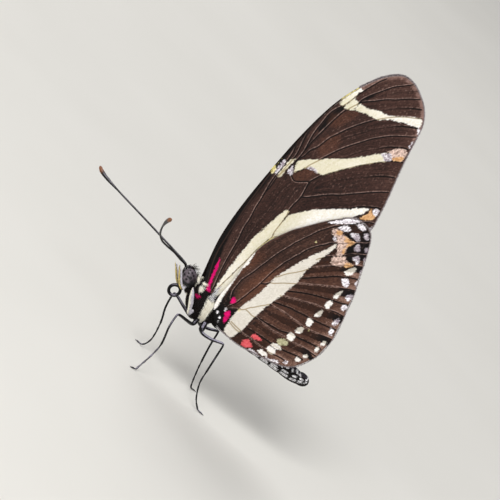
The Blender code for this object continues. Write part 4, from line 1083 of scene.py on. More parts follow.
# Spots as middle x and z, half length, half width and the slope of the length in degrees
BODY_SPOTS = {
    "cream": (
        (-12.66, 14.4, 0.58, 0.19, 130), (-11.95, 14.69, 0.25, 0.22, 0), (-11.74, 13.86, 0.44, 0.29, 115),
        (-12.56, 13.84, 0.5, 0.09, 102), (-7.6, 12.7, 0.2, 0.15, 0),
    ),
    "white": (
        (-6.6, 12.14, 0.2, 0.12, 60), (-6.34, 11.51, 0.15, 0.12, 0), (6.03, 12.73, 0.27, 0.27, 0),
        (5.3, 12.27, 0.16, 0.1, 130), (6.95, 12.8, 0.26, 0.13, 120), (7.7, 13.0, 0.27, 0.17, 140),
        (8.32, 12.95, 0.2, 0.11, 130), (9.66, 13.05, 0.18, 0.26, 130), (9.72, 12.6, 0.16, 0.1, 40),
    ),
    "crimson": ((-11.45, 12.75, 0.35, 0.25, 42),),
}
BODY_STRIPE = (
    (-10.25, 13.3), (-9.98, 12.54), (-9.65, 11.45), (-9.2, 10.34), (-8.75, 9.4), (-8.25, 9.3), (-8.11, 10.27),
    (-8.4, 11.31), (-8.55, 12.17), (-8.59, 12.92), (-8.75, 13.39), (-9.29, 13.72), (-9.84, 13.95), (-10.34, 13.71),
)


def spot_depth(points, spots):
    """How deep each point lies in the nearest of several long round spots."""
    best = np.full(len(points), NOT_HERE)
    for x, z, length, width, slope in spots:
        turn = math.radians(slope)
        along = (points[:, 0] - x) * math.cos(turn) + (points[:, 1] - z) * math.sin(turn)
        across = (points[:, 1] - z) * math.cos(turn) - (points[:, 0] - x) * math.sin(turn)
        reach = ((np.abs(along) / length) ** 2.3 + (np.abs(across) / width) ** 2.3) ** (1 / 2.3)
        best = np.maximum(best, (1 - reach) * min(length, width))
    return best


def body_marks(points):
    """The body's marks, read from the side, on both sides alike."""
    x, side = points[:, 0], points[:, (0, 2)]
    flank = -ease(0.75 - np.abs(points[:, 1]), 0, 0.5) * ease(x, -12.3, -11.9) * ease(x, -5.0, -6.0)
    marks = {key: spot_depth(side, spots) + flank for key, spots in BODY_SPOTS.items()}
    marks["cream"] = np.maximum(marks["cream"], depth_in(side, BODY_STRIPE, 0.3) + flank)
    # Abdomen: on each ring a double dash low on the side, a thin one over it and round spots above
    height = points[:, 2] - np.interp(x, ABDOMEN_LINE[:, 0], ABDOMEN_LINE[:, 2])
    ring = np.interp(x, ABDOMEN_RINGS, np.arange(len(ABDOMEN_RINGS)))
    within, span = ring % 1, np.interp(x, ABDOMEN_RINGS, np.r_[np.diff(ABDOMEN_RINGS), 1.0])
    low = height - np.interp(x, (2, 5, 7, 8.2, 9, 9.8), (-0.66, -0.66, -0.52, -0.4, -0.24, 0.05))
    second = height - np.interp(x, (3.9, 4.7, 6.1, 7.5, 9), (-0.27, -0.22, -0.07, 0.11, 0.26))
    thin = np.interp(x, (5, 9), (0.078, 0.06))
    dash = np.minimum(thin - np.abs(np.abs(low) - 0.115), (0.38 - np.abs(within - 0.45)) * span)
    upper = np.minimum(0.065 - np.abs(np.abs(second) - 0.07), (0.3 - np.abs(within - 0.33)) * span)
    spot = np.where(x < 5, 0.26 - np.hypot((within - 0.3) * 1.75, height - 0.66), NOT_HERE)
    rows = np.maximum(np.maximum(dash, upper), spot)
    on_abdomen = (x > -6.2) & (x < 9.6)
    marks["white"] = np.maximum(marks["white"], np.where(on_abdomen, rows, NOT_HERE))
    # Painted sheen: violet grey over the top of the back half of the abdomen
    marks["violet"] = np.where(x > 0, np.minimum(height - 0.6, 0.02), NOT_HERE)
    return marks


skin_finish = body_finish("body_chitin", 0.5)
lobes = [add_ball(*lobe) for lobe in BODY_LOBES]
for i, (size, reach) in enumerate(ABDOMEN_BALLS):
    at = ABDOMEN_LINE[int((i + 0.5) / len(ABDOMEN_BALLS) * (len(ABDOMEN_LINE) - 1))]
    lobes.append(add_ball(at, (reach, ABDOMEN_NARROWER * size, size), -3))
for lobe in lobes:
    lobe.select_set(True)
bpy.ops.object.join()
body = finish_primitive("body_skin", skin_finish)
remesh = body.modifiers.new("one_skin", "REMESH")
remesh.mode = "VOXEL"
remesh.voxel_size = SKIN_VOXEL
remesh.use_smooth_shade = True
even = body.modifiers.new("even", "SMOOTH")
even.factor, even.iterations = 0.5, 3
for modifier in (remesh, even):
    bpy.ops.object.modifier_apply(modifier=modifier.name)
for key, values in body_marks(points_of(body)).items():
    stencil(body, key, values)
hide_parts("head", "thorax", "abdomen")


# Coat: short hair on the thorax and head and flat scales on the abdomen, each a thin bent spike that
# lies back along the body, with the same marks as the skin under it. Longer white hair lies over the
# wing roots, and tufts stand up between the eyes.

COAT_RANDOM = np.random.default_rng(7)
COAT_TUFTS = 25000
TUFTS_IN_A_PIECE = 12000
PATCH_SIZE = 0.003
CROWN_HAIRS = 46


def lay_flat(obj):
    """Unwraps a skin, so that each tuft has a place of its own on the unwrap."""
    bpy.ops.object.select_all(action="DESELECT")
    obj.select_set(True)
    bpy.context.view_layer.objects.active = obj
    bpy.ops.object.mode_set(mode="EDIT")
    bpy.ops.mesh.select_all(action="SELECT")
    bpy.ops.uv.smart_project(angle_limit=math.radians(66), island_margin=0.01)
    bpy.ops.object.mode_set(mode="OBJECT")


def scatter(surface, wanted):
    """Places spread over a surface by area: points, normals and where they lie on its unwrap."""
    mesh = surface.data
    mesh.calc_loop_triangles()
    corners = np.array([t.vertices for t in mesh.loop_triangles])
    loops = np.array([t.loops for t in mesh.loop_triangles])
    co = np.array([v.co for v in mesh.vertices])
    uv = np.array([u.uv for u in mesh.uv_layers.active.data])
    normals = np.array([v.normal for v in mesh.vertices])
    a, b, c = (co[corners[:, i]] for i in range(3))
    area = np.linalg.norm(np.cross(b - a, c - a), axis=1)
    chosen = COAT_RANDOM.choice(len(area), wanted, p=area / area.sum())
    s, t = np.sqrt(COAT_RANDOM.random(wanted)), COAT_RANDOM.random(wanted)
    share = np.c_[1 - s, s * (1 - t), s * t][:, :, None]
    at = (co[corners[chosen]] * share).sum(1) * 1000 + np.array(STANCE_ORIGIN)
    normal = (normals[corners[chosen]] * share).sum(1)
    normal /= np.linalg.norm(normal, axis=1)[:, None]
    return at, normal, (uv[loops[chosen]] * share).sum(1)


def tufts(name, roots, normals, unwrap, lie, lift, length, width, flatness, finish, marks):
    """One mesh of many spikes: each leaves its root along the lie, lifts, thins and bends back to its tip."""
    count = len(roots)
    lie = lie - (lie * normals).sum(1)[:, None] * normals
    lie /= np.linalg.norm(lie, axis=1)[:, None] + 1e-9
    across = np.cross(normals, lie)
    stations = ((-0.05, 0.75, -0.3), (0.4, 1.0, 0.7), (0.78, 0.6, 1.0))
    rings = []
    for share, swell, rise in stations:
        middle = roots + lie * (length * share)[:, None] + normals * (lift * rise)[:, None]
        for angle in (90, 210, 330):
            wide = across * (width * swell * math.cos(math.radians(angle)))[:, None]
            high = normals * (width * swell * flatness * math.sin(math.radians(angle)))[:, None]
            rings.append(middle + wide + high)
    tip = roots + lie * length[:, None] + normals * (lift * 0.95)[:, None]
    points = np.stack([*rings, tip], axis=1).reshape(-1, 3)
    faces = []
    for low in (0, 3):
        for k in range(3):
            a, b = low + k, low + (k + 1) % 3
            faces += [(a, b, b + 3), (a, b + 3, a + 3)]
    faces += [(6, 7, 9), (7, 8, 9), (8, 6, 9), (2, 1, 0)]
    faces = np.array(faces)
    every = (np.arange(count)[:, None, None] * 10 + faces[None]).reshape(-1, 3)
    obj = mesh_object(name, points, every.tolist(), finish)
    for key, values in {**marks(roots), "shade": COAT_RANDOM.random(count)}.items():
        stencil(obj, key, np.repeat(values, 10))
    stencil(obj, "tip", np.tile([0] * 3 + [0.45] * 3 + [0.8] * 3 + [1], count))
    patch = np.array((
        (0, 0), (1, 0), (0.5, 0.3), (0, 0.4), (1, 0.4), (0.5, 0.6), (0, 0.8), (1, 0.8), (0.5, 0.9), (0.5, 1),
    ))
    uv = unwrap[:, None, :] + (patch[None] - 0.5) * PATCH_SIZE
    layer = obj.data.uv_layers.new(name="OFBake")
    index = np.empty(len(obj.data.loops), np.int32)
    obj.data.loops.foreach_get("vertex_index", index)
    layer.data.foreach_set("uv", uv.reshape(-1, 2)[index].astype(np.float32).ravel())
    return obj


def coat_finish(name, dark, dark_tip):
    finish = Finish(name, {"Roughness": 0.5, "Specular IOR Level": 0.16})
    shade, tip = finish.read("shade"), finish.read("tip")
    colour = finish.mix((shade * shade * 0.7 + tip * 0.2).held(), tint(dark), tint(dark_tip))
    ragged = (shade - 0.5) * 0.1
    for key, code, other in BODY_COLOURS:
        patch = finish.mix((shade * 1.4 - 0.4).held(), tint(code), tint(other))
        colour = finish.mix((finish.read(key) + ragged).from_edge(0.04), colour, patch)
    finish.wear(colour, (0.4 + shade * 0.3).held())
    return finish


def only(**chosen):
    """Marks for tufts that are all one colour."""
    keys = [key for key, code, other in BODY_COLOURS]
    return lambda roots: {key: np.full(len(roots), chosen.get(key, NOT_HERE)) for key in keys}


hair_finish = coat_finish("body_hair", "040303", "2c2120")
lay_flat(body)
roots, normals, unwrap = scatter(body, COAT_TUFTS)
on_trunk = roots[:, 0] < -6.0
for name, keep, reach, girth, flat_share in (
    ("thorax_coat", on_trunk, 0.34, 0.026, 0.8),
    ("abdomen_coat", ~on_trunk, 0.22, 0.045, 0.25),
):
    at, up, patch = (values[keep][:TUFTS_IN_A_PIECE] for values in (roots, normals, unwrap))
    count = len(at)
    lie = np.tile((1.0, 0.0, -0.15), (count, 1))
    striped = ease(depth_in(at[:, (0, 2)], BODY_STRIPE, 0.3), -0.1, 0.1)[:, None]
    lie = lie * (1 - striped) + np.array((0.15, 0.0, -1.0)) * striped + COAT_RANDOM.normal(0, 0.2, (count, 3))
    crown = ease(at[:, 0], -13.0, -13.6) * ease(up[:, 2], 0.3, 0.7)
    long_hair = 1 + 1.1 * ease(up[:, 2], 0.75, 0.95) + 0.9 * ease(up[:, 2], -0.6, -0.9)
    reach = reach * np.where(at[:, 0] < -12.3, 0.7, 1.0) * (long_hair if flat_share > 0.5 else 1.0) + 0.12 * crown
    length = reach * (0.6 + 0.7 * COAT_RANDOM.random(count))
    lift = ((0.1 if flat_share < 0.5 else 0.28) + crown) * length
    coat = tufts(name, at, up, patch, lie, lift, length, girth * (0.7 + 0.6 * COAT_RANDOM.random(count)),
                 flat_share, hair_finish, body_marks)

# Hair over the wing roots: the patch it grows on, as x and z
ROOT_PATCH = np.array((
    (-10.16, 13.29), (-10.05, 14.27), (-10.15, 15.0), (-10.0, 15.6), (-9.8, 15.4), (-9.6, 14.6), (-9.4, 13.8),
    (-9.25, 13.2),
))
CROWN_TUFTS = (
    ((-15.02, -0.25, 14.5), (-0.32, -0.05, 0.4), "white"), ((-14.62, -0.2, 14.8), (-0.18, 0.0, 0.34), "violet"),
    ((-14.33, -0.2, 15.0), (-0.14, 0.0, 0.38), None), ((-13.73, -0.3, 14.93), (-0.02, -0.05, 0.36), "white"),
    ((-15.02, 0.25, 14.5), (-0.3, 0.05, 0.3), "white"), ((-14.62, 0.2, 14.8), (-0.15, 0.0, 0.3), None),
    ((-13.75, 0.3, 14.9), (-0.02, 0.05, 0.3), "white"), ((-14.2, 0.0, 14.95), (0.0, 0.0, 0.34), None),
)
for word, side in SIDES:
    count = 240
    flat = ROOT_PATCH.min(0) + COAT_RANDOM.random((count * 4, 2)) * np.ptp(ROOT_PATCH, axis=0)
    flat = flat[inside(flat, np.vstack((ROOT_PATCH, ROOT_PATCH[:1])))][:count]
    count = len(flat)
    out = np.interp(flat[:, 1], (13.2, 13.9, 14.3, 15.3, 16), (1.66, 1.5, 1.4, 1.33, 1.31))
    at = np.c_[flat[:, 0], side * out, flat[:, 1]]
    up = np.tile((0.0, float(side), 0.0), (count, 1))
    lie = np.tile((0.1, 0.0, 1.0), (count, 1)) + COAT_RANDOM.normal(0, 0.25, (count, 3))
    coat = tufts(
        "root_coat_" + word, at, up, (flat + 20) / 80, lie, np.full(count, 0.1),
        0.35 + 0.4 * COAT_RANDOM.random(count), np.full(count, 0.024), 0.6, hair_finish,
        lambda roots: {**only()(roots), "white": np.where(COAT_RANDOM.random(len(roots)) < 0.72, 0.2, NOT_HERE)},
    )
for number, (at, way, key) in enumerate(CROWN_TUFTS):
    count = CROWN_HAIRS
    fan = np.array(way) + COAT_RANDOM.normal(0, 0.06, (count, 3))
    length = np.linalg.norm(fan, axis=1) * (0.7 + 0.4 * COAT_RANDOM.random(count))
    up = np.cross(fan, (0.0, 1.0, 0.2))
    up /= np.linalg.norm(up, axis=1)[:, None]
    base = np.array(at) + COAT_RANDOM.normal(0, 0.09, (count, 3))
    coat = tufts("crown_coat_%d" % number, base, up, (base[:, :2] + 20) / 80, fan, 0.1 * length, length,
                 np.full(count, 0.035), 0.6, hair_finish, only(**({key: 0.2} if key else {})))


# Fringe: scales that stand out all along the outer margins of the wings, grey with pale tips.

fringe_finish = coat_finish("fringe_scales", "4c3c3a", "cfc5cb")
for kind, rim, lie_at in (
    ("forewing", smooth(FOREWING_OUTLINE[7:21], 0.055), forewing_lie),
    ("hindwing", smooth(HINDWING_OUTLINE[8:28], 0.055), hindwing_lie),
):
    way = np.gradient(rim, axis=0)
    way /= np.linalg.norm(way, axis=1)[:, None]
    count = len(rim)
    for word, side in SIDES:
        at = np.c_[rim[:, 0], side * lie_at(rim[:, 0], rim[:, 1]), rim[:, 1]]
        out = np.c_[-way[:, 1], np.zeros(count), way[:, 0]] + COAT_RANDOM.normal(0, 0.12, (count, 3))
        fringe = tufts(
            kind + "_fringe_" + word, at, np.tile((0.0, float(side), 0.0), (count, 1)), (rim + 20) / 80, out,
            np.zeros(count), 0.13 + 0.12 * COAT_RANDOM.random(count), np.full(count, 0.035), 0.3, fringe_finish, only(),
        )


# Eyes: large domes of facets at the sides of the head, black, with a violet grey net painted over the upper part
# as light on the facets, the lower part left black as shade, and darker round spots where the facets look straight out.

HEAD_PITCH = math.radians(-43)
EYE_HALF = (1.05, 0.8, 1.44)
EYE_MIDDLE = (-0.03, 0.68, -0.1)


def in_head(forward, across, up):
    """A place in the head's own frame, as a place in the butterfly's."""
    turn = Matrix.Rotation(HEAD_PITCH, 3, "Y")
    return HEAD_CENTRE + turn @ Vector((-forward, across, up))


def eye_finish():
    finish = Finish(
        "eye_lens", {"Roughness": 0.35, "Specular IOR Level": 0.22, "Coat Weight": 0.04, "Coat Roughness": 0.15},
    )
    where = finish.add("ShaderNodeTexCoord", {}, {}, 3)
    facets = finish.add("ShaderNodeTexVoronoi", {}, {"Vector": where, "Scale": 14000})
    height = finish.read("height")
    cloud = finish.grain(1.6, (1, 1, 1), 0, 3)
    spots = (finish.read("spots") + 0.02 + (cloud - 0.5) * 0.1).from_edge(0.08)
    # Painted light: the upper part turns violet grey as light on the facets, paler higher up, and the lower part stays
    # black as shade
    upper = (height + 0.5 + (cloud - 0.5) * 0.8).from_edge(0.45)
    pale = finish.mix(((cloud - 0.32) * 1.7 + (height - 0.2) * 0.25).held(), tint("241d21"), tint("82767f"))
    colour = finish.mix((upper * (1 - spots * 0.92)).held(), tint("050406"), pale)
    finish.wear(colour, None, facets, 0.3, 0.012)
    return finish


finish = eye_finish()
# Each dark spot as how far forward and up it lies in the head's frame, and its size
EYE_SPOTS = (
    (-0.09, 0.2, 0.24), (0.49, 0.02, 0.15), (0.11, 0.87, 0.12), (-0.4, 0.85, 0.12), (-0.57, 0.42, 0.14),
    (-0.69, -0.22, 0.12), (-0.28, -0.45, 0.16), (0.69, 0.66, 0.12), (0.28, 0.44, 0.12), (-0.14, 1.22, 0.1),
)
for word, side in SIDES:
    forward, across, up = EYE_MIDDLE
    add_ball(in_head(forward, side * across, up), EYE_HALF, -43, 48, 32)
    eye = finish_primitive("eye_lens_" + word, finish)
    points = points_of(eye) - np.array(HEAD_CENTRE)
    turn = np.array(Matrix.Rotation(-HEAD_PITCH, 3, "Y"))
    local = points @ turn.T
    stencil(eye, "height", local[:, 2])
    far = [size - np.hypot(-local[:, 0] - f, local[:, 2] - h) for f, h, size in EYE_SPOTS]
    stencil(eye, "spots", np.max(far, axis=0))
    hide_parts("eye_" + word)


# Palps: two scaled feelers that stand up in front of the face, yellow in front and white behind, with
# a dark line between them and short scales all over.


def tube(name, line, radii, finish, sides=3):
    """A closed tube along a line of points, with its own radius at each of them."""
    curve = bpy.data.curves.new(name, "CURVE")
    curve.dimensions = "3D"
    curve.bevel_depth = 0.001
    curve.bevel_resolution = sides
    curve.use_fill_caps = True
    spline = curve.splines.new("POLY")
    spline.points.add(len(line) - 1)
    spline.points.foreach_set("co", np.c_[place(line), np.ones(len(line))].ravel())
    spline.points.foreach_set("radius", radii)
    obj = bpy.data.objects.new(name, curve)
    bpy.context.scene.collection.objects.link(obj)
    bpy.ops.object.select_all(action="DESELECT")
    obj.select_set(True)
    bpy.context.view_layer.objects.active = obj
    bpy.ops.object.convert(target="MESH")
    bpy.ops.object.mode_set(mode="EDIT")
    bpy.ops.mesh.select_all(action="SELECT")
    bpy.ops.mesh.remove_doubles(threshold=1e-7)
    bpy.ops.mesh.normals_make_consistent(inside=False)
    bpy.ops.object.mode_set(mode="OBJECT")
    return finish_primitive(name, finish)


def along(obj, line):
    """Gives a tube how far along it each point lies, in millimetres and from 0 to 1, and how far it faces up, forward
    and out, which sets where the painted highlight goes.
    """
    points = points_of(obj)
    run = np.r_[0, np.cumsum(np.linalg.norm(np.diff(line, axis=0), axis=1))]
    nearest_point = np.linalg.norm(points[:, None, :] - line[None], axis=2).argmin(1)
    stencil(obj, "run", run[nearest_point])
    stencil(obj, "share", run[nearest_point] / run[-1])
    out = points - line[nearest_point]
    out /= np.linalg.norm(out, axis=1)[:, None] + 1e-9
    stencil(obj, "lit", out[:, 2] * 0.62 - out[:, 0] * 0.3 + np.abs(out[:, 1]) * 0.55)
    return points, out


def palp_marks(out):
    """Yellow on the side that faces forward, white behind it and a dark line down each side between them."""
    front = (out @ np.array(Matrix.Rotation(HEAD_PITCH, 3, "Y")) @ np.array((-1.0, 0.0, 0.0)))
    return {**only()(out), "cream": (front - 0.3) * 0.2, "white": (-0.02 - front) * 0.2}


def scaled_palp_finish():
    finish = Finish("palp_scales", {"Roughness": 0.5, "Specular IOR Level": 0.16})
    shade = finish.read("shade")
    white = finish.mix(shade, tint("f6f4f7"), tint("b9b1bd"))
    yellow = finish.mix(shade, tint("ecdc9a"), tint("c4a960"))
    colour = finish.mix(finish.read("white").from_edge(0.03), tint("17100f"), white)
    finish.wear(finish.mix(finish.read("cream").from_edge(0.03), colour, yellow), (0.4 + shade * 0.3).held())
    return finish


palp_finish = scaled_palp_finish()
PALPS = {
    "left": (
        (0.6, -0.35, -1.35), (1.0, -0.62, -1.6), (1.22, -0.74, -1.15), (1.33, -0.78, -0.4), (1.3, -0.8, 0.5),
        (1.28, -0.82, 1.2), (1.33, -0.85, 1.85),
    ),
    "right": (
        (0.6, 0.35, -1.35), (1.3, 0.5, -1.6), (1.5, 0.56, -1.1), (1.63, 0.6, -0.3), (1.66, 0.63, 0.6),
        (1.7, 0.66, 1.2), (1.8, 0.7, 1.75),
    ),
}
for word, spine in PALPS.items():
    line = smooth([in_head(*step) for step in spine], 0.06)
    radii = np.interp(np.linspace(0, 1, len(line)), (0, 0.3, 0.7, 0.92, 1), (0.22, 0.25, 0.23, 0.15, 0.05))
    palp = tube("palp_skin_" + word, line, radii, palp_finish, 5)
    points, out = along(palp, line)
    for key, values in palp_marks(out).items():
        stencil(palp, key, values)
    stencil(palp, "shade", 0.5 + 0.5 * np.sin(points[:, 0] * 47) * np.sin(points[:, 2] * 61))
    stencil(palp, "tip", np.full(len(points), 0.0))
    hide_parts("palp_" + word)
    lay_flat(palp)
    at, up, patch = scatter(palp, 600)
    lie = line[-1] - line[len(line) // 3] + COAT_RANDOM.normal(0, 0.6, (len(at), 3))
    coat = tufts(
        "palp_coat_" + word, at, up, patch, lie, np.full(len(at), 0.05),
        0.18 + 0.16 * COAT_RANDOM.random(len(at)), np.full(len(at), 0.03), 0.4, palp_finish,
        lambda roots: palp_marks(up),
    )


# Proboscis: the drinking tube, rolled up like a watch spring under the face, black and glossy, with a painted grey
# highlight along its upper side.


def horn_finish(name, dark, light, share):
    """Black chitin; along the side that faces up and out, a pale grey that is partly fine grey scales and partly
    painted highlight.
    """
    finish = Finish(name, {"Roughness": 0.28, "Specular IOR Level": 0.2})
    fleck = finish.grain(7, (1, 1, 1), 0, 3)
    slow = finish.grain(0.9, (1, 1, 1), 0, 2)
    # lit: where the painted highlight falls
    lit = (finish.read("lit") - 0.77 + (fleck - 0.5) * 0.3 + (slow - 0.5) * 0.5).from_edge(0.14)
    colour = finish.mix(fleck * 0.35, tint(dark), tint("141114"))
    colour = finish.mix((lit * share).held(), colour, tint(light))
    return finish, colour, fleck


horn, colour, fleck = horn_finish("glossy_horn", "040304", "8b8494", 0.55)
horn.wear(colour, None, fleck, 0.2, 0.02)
turns = np.radians(np.linspace(120, -600, 120))
radius = np.linspace(0.84, 0.8, 120)
ring = np.c_[2.13 + radius * np.cos(turns), np.linspace(-0.06, 0.24, 120), -2.1 + radius * np.sin(turns)]
line = np.array([in_head(*p) for p in (*smooth(((0.75, 0.0, -0.95), (1.25, 0.0, -1.15), ring[0]), 0.1)[:-1], *ring)])
tongue = tube("proboscis_coil", line, np.interp(np.linspace(0, 1, len(line)), (0, 0.5, 1), (0.25, 0.24, 0.12)), horn)
along(tongue, line)
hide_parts("proboscis")


# Antennae: thin jointed shafts from the top of the head, each with a flattened club at its end, black with a painted
# grey highlight along the side that faces up.

ANTENNAE = {
    "left": (
        (0.5, -0.42, 1.85), (-1.59, -1.18, 0.46), (-3.07, -2.18, 0.91), (-4.94, -3.68, 1.32), (-6.47, -5.08, 1.78),
        (-7.57, -6.38, 2.46), (-8.38, -7.58, 3.24), (-9.1, -8.98, 4.29), (-9.63, -10.48, 5.4), (-9.91, -11.68, 6.19),
        (-10.07, -12.75, 6.78),
    ),
    "right": (
        (0.5, 0.42, 1.85), (-1.9, 1.3, 0.1), (-3.9, 2.7, 0.1), (-7.0, 4.95, 0.1), (-10.8, 7.5, 0.1),
        (-13.9, 9.5, 0.15), (-15.3, 10.3, 0.35), (-15.95, 10.8, 0.7),
    ),
}


def antenna_finish():
    finish, colour, fleck = horn_finish("antenna_rings", "060506", "8d8890", 0.5)
    run, share = finish.read("run"), finish.read("share")
    joint = (run * (1 / 0.42)).math("FRACT")
    band = (0.12 - joint).from_edge(0.08)
    colour = finish.mix(band * 0.6 * (1 - (share - 0.8).from_edge(0.1)), colour, tint("030303"))
    rust = finish.mix(fleck, tint("6e4430"), tint("a8704a"))
    colour = finish.mix((share - 0.955).from_edge(0.03) * 0.75, colour, rust)
    finish.wear(colour, None, joint, 0.3, 0.03)
    return finish


finish = antenna_finish()
for word, spine in ANTENNAE.items():
    base = in_head(*spine[0])
    line = smooth([in_head(0.35, spine[0][1], 0.6), base, *(base + Vector(step) for step in spine[1:])], 0.14)
    share = np.linspace(0, 1, len(line))
    radii = np.interp(
        share, (0, 0.03, 0.08, 0.78, 0.88, 0.96, 0.99, 1), (0.24, 0.22, 0.155, 0.145, 0.26, 0.32, 0.24, 0.1),
    )
    radii *= 1 + 0.06 * np.cos(np.arange(len(line)) * 2 * math.pi / 3)
    antenna = tube("antenna_shaft_" + word, line, radii, finish)
    along(antenna, line)
    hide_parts("antenna_" + word)


# Legs: each walking leg has a hip, a thigh out to the knee, a shin and five foot joints, black with short
# spines and with grey scales and a painted highlight along the top; the front pair is small, white and folded against
# the chest.

LEGS = {
    "midleg_left": (
        (-8.9, -0.8, 10.3), (-9.0, -1.25, 9.2), (-9.4, -1.6, 9.0), (-10.5, -2.8, 9.25), (-12.4, -4.2, 9.55),
        (-12.75, -4.6, 9.2), (-12.6, -5.2, 7.4), (-11.95, -5.8, 5.1),
        (-12.0, -6.3, 3.2), (-12.5, -7.1, 0.9), (-12.75, -7.45, 0.22), (-13.5, -7.8, 0.15),
    ),
    "midleg_right": (
        (-8.9, 0.8, 10.3), (-9.0, 1.25, 9.2), (-9.4, 1.7, 9.0), (-10.6, 2.8, 9.2), (-12.2, 3.8, 9.6),
        (-12.55, 4.1, 9.3), (-11.9, 4.6, 7.0), (-10.75, 5.0, 4.7),
        (-10.0, 5.2, 2.1), (-10.1, 5.3, 0.8), (-10.5, 5.45, 0.22), (-11.3, 5.7, 0.15),
    ),
    "hindleg_left": (
        (-7.7, -0.8, 10.2), (-7.5, -1.3, 9.2), (-7.0, -1.6, 8.9), (-5.7, -2.2, 9.2), (-4.3, -2.6, 9.8),
        (-3.95, -2.75, 9.6), (-3.7, -3.0, 8.0), (-3.3, -3.3, 5.4),
        (-2.95, -3.6, 3.4), (-1.9, -3.75, 1.5), (-0.9, -3.8, 0.5), (-0.35, -3.85, 0.2), (0.4, -3.95, 0.15),
    ),
    "hindleg_right": (
        (-7.7, 0.8, 10.2), (-7.5, 1.3, 9.2), (-7.0, 1.6, 8.9), (-5.6, 2.2, 9.1), (-4.3, 2.7, 9.5),
        (-4.0, 2.85, 9.3), (-3.5, 3.1, 7.2), (-2.7, 3.4, 4.5),
        (-2.0, 3.5, 2.4), (-1.4, 3.6, 0.9), (-1.0, 3.65, 0.22), (-0.2, 3.8, 0.15),
    ),
}

finish, colour, fleck = horn_finish("leg_chitin", "050405", "b3adc0", 0.65)
finish.wear(colour, (fleck * 0.3 + 0.15).held(), fleck, 0.4, 0.03)
for name, spine in LEGS.items():
    line = smooth(spine, 0.1)
    run = np.r_[0, np.cumsum(np.linalg.norm(np.diff(line, axis=0), axis=1))]
    knee = run[np.linalg.norm(line - np.array(spine[4]), axis=1).argmin()]
    heel = run[np.linalg.norm(line - np.array(spine[7]), axis=1).argmin()]
    hip = 0.46 if name.startswith("hind") else 0.36
    stops = (
        0, 1.1, 1.5, knee - 0.6, knee, knee + 0.3, knee + 0.8, heel - 0.4, heel, heel + 0.2, run[-1] - 0.3, run[-1],
    )
    radii = np.interp(run, stops, (hip, hip, 0.26, 0.22, 0.21, 0.14, 0.15, 0.15, 0.16, 0.12, 0.11, 0.07))
    foot = np.clip((run - heel) / (run[-1] - heel), 0, 1)
    radii *= 1 + 0.14 * (foot > 0) * np.cos(foot * 10 * math.pi)
    leg = tube(name + "_chitin", line, radii, finish)
    along(leg, line)
    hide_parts(name)
    # Spines down the shin and the foot, and two claws at its end
    count = 70
    places = np.r_[np.linspace(knee + 0.5, run[-1] - 0.15, count - 2), run[-1] - 0.05, run[-1] - 0.05]
    pick = np.searchsorted(run, places).clip(1, len(line) - 1)
    way = line[pick] - line[pick - 1]
    way /= np.linalg.norm(way, axis=1)[:, None]
    turn = np.r_[COAT_RANDOM.random(count - 2) * 2 * math.pi, 0.4, math.pi - 0.4]
    aside = np.cross(way, (0.0, 0.0, 1.0)) + 1e-6
    aside /= np.linalg.norm(aside, axis=1)[:, None]
    out = aside * np.cos(turn)[:, None] + np.cross(way, aside) * np.sin(turn)[:, None]
    claw = np.arange(count) >= count - 2
    length, girth = np.where(claw, 0.3, 0.17), np.where(claw, 0.045, 0.018)
    at = line[pick] + out * (radii[pick] * 0.75)[:, None]
    spines = tufts(
        name + "_spines", at, out, (at[:, (0, 2)] + 20) / 80, way, length * np.where(claw, 0.15, 0.45), length, girth,
        1.0, finish, lambda roots: {"lit": np.zeros(len(roots))},
    )

FORELEG = (
    (-10.4, 1.15, 10.6), (-10.8, 1.75, 10.05), (-11.45, 2.0, 11.1), (-12.15, 1.85, 12.2), (-12.85, 1.5, 13.3),
)
foreleg_finish = coat_finish("foreleg_scales", "8f8894", "f1eef2")


def foreleg_marks(out):
    """Cream along the edge that faces forward and down, white elsewhere."""
    return {**only()(out), "cream": -(out @ np.array((0.74, 0.0, 0.67)) + 0.35) * 0.2}


for word, side in SIDES:
    line = smooth([(x, side * y, z) for x, y, z in FORELEG], 0.08)
    radii = np.interp(np.linspace(0, 1, len(line)), (0, 0.3, 0.55, 0.75, 0.92, 1), (0.2, 0.24, 0.33, 0.3, 0.16, 0.05))
    foreleg = tube("foreleg_skin_" + word, line, radii, foreleg_finish, 5)
    points, out = along(foreleg, line)
    shade = 0.7 + 0.3 * np.sin(points[:, 0] * 53) * np.sin(points[:, 2] * 41)
    for key, values in {**foreleg_marks(out), "shade": shade, "tip": np.full(len(points), 0.8)}.items():
        stencil(foreleg, key, values)
    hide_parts("foreleg_" + word)
    lay_flat(foreleg)
    at, up, patch = scatter(foreleg, 700)
    lie = np.tile((0.7, 0.0, -0.9), (len(at), 1)) + COAT_RANDOM.normal(0, 0.2, (len(at), 3))
    coat = tufts(
        "foreleg_coat_" + word, at, up, patch, lie, np.full(len(at), 0.04),
        0.16 + 0.18 * COAT_RANDOM.random(len(at)), np.full(len(at), 0.028), 0.4, foreleg_finish,
        lambda roots: foreleg_marks(up),
    )


# Floor, lights and camera: a plain pale floor under soft studio light, seen as the photograph was taken.

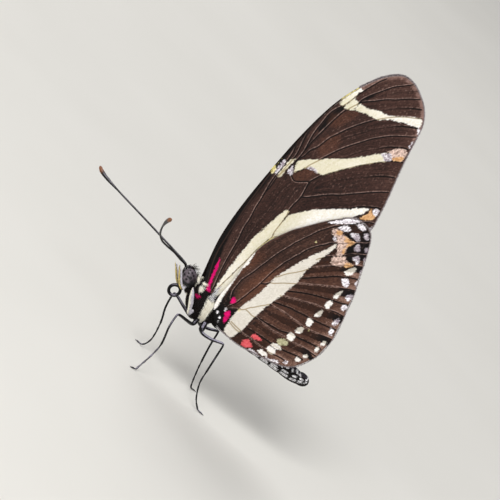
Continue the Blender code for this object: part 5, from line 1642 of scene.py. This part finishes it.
floor_finish = Finish("floor_paper", {"Roughness": 0.85})
soft = floor_finish.grain(0.02, (1, 1, 1), 0, 2)
floor_finish.wear(floor_finish.mix(soft, tint("d9d6cf"), tint("e3e0da")), None, floor_finish.grain(1.5), 0.05, 0.1)
bpy.ops.object.select_all(action="DESELECT")
bpy.ops.mesh.primitive_circle_add(vertices=96, radius=3.0, fill_type="NGON", location=(0, 0, 0))
floor = bpy.context.object
floor.name = "floor"
floor.data.materials.append(floor_finish.material)

world = bpy.data.worlds.new("studio")
bpy.context.scene.world = world
world.use_nodes = True
world.node_tree.nodes["Background"].inputs["Color"].default_value = tint("eef0f2")
world.node_tree.nodes["Background"].inputs["Strength"].default_value = 0.3
subject = Vector((-0.0, 0.0, 0.024))
for name, place_at, size, power in (
    ("key", (-0.35, -0.45, 0.6), 0.35, 5.0), ("fill", (-0.05, -0.62, 0.12), 0.3, 1.4),
    ("back", (-0.1, 0.5, 0.5), 0.4, 2.0),
):
    bpy.ops.object.light_add(type="AREA", location=place_at)
    light = bpy.context.object
    light.name = name
    light.data.size = size
    light.data.energy = power
    light.rotation_euler = (subject - light.location).to_track_quat("-Z", "Y").to_euler()

AZIMUTH, ELEVATION, ROLL = math.radians(-18), math.radians(12), math.radians(43)
CAMERA_DISTANCE = 0.6
FILM_WIDTH = 36
PICTURE_WIDTH = 0.5 / 7  # 500 pixels at 7 a millimetre, in metres
back = Vector((
    math.sin(AZIMUTH) * math.cos(ELEVATION), -math.cos(AZIMUTH) * math.cos(ELEVATION), math.sin(ELEVATION),
))
aim = Vector(place((-9.93, 0.0, 22.46)))
bpy.ops.object.camera_add(location=aim + back * CAMERA_DISTANCE)
camera = bpy.context.object
camera.name = "camera"
camera.data.sensor_width = FILM_WIDTH
camera.data.lens = FILM_WIDTH * CAMERA_DISTANCE / PICTURE_WIDTH
camera.data.clip_start, camera.data.clip_end = 0.01, 20
upright = Matrix.Rotation(ROLL, 3, back)
right = upright @ Vector((math.cos(AZIMUTH), math.sin(AZIMUTH), 0))
up = back.cross(right)
camera.rotation_euler = Matrix((right, up, back)).transposed().to_euler()
bpy.context.scene.camera = camera
bpy.context.scene.view_settings.view_transform = "Standard"
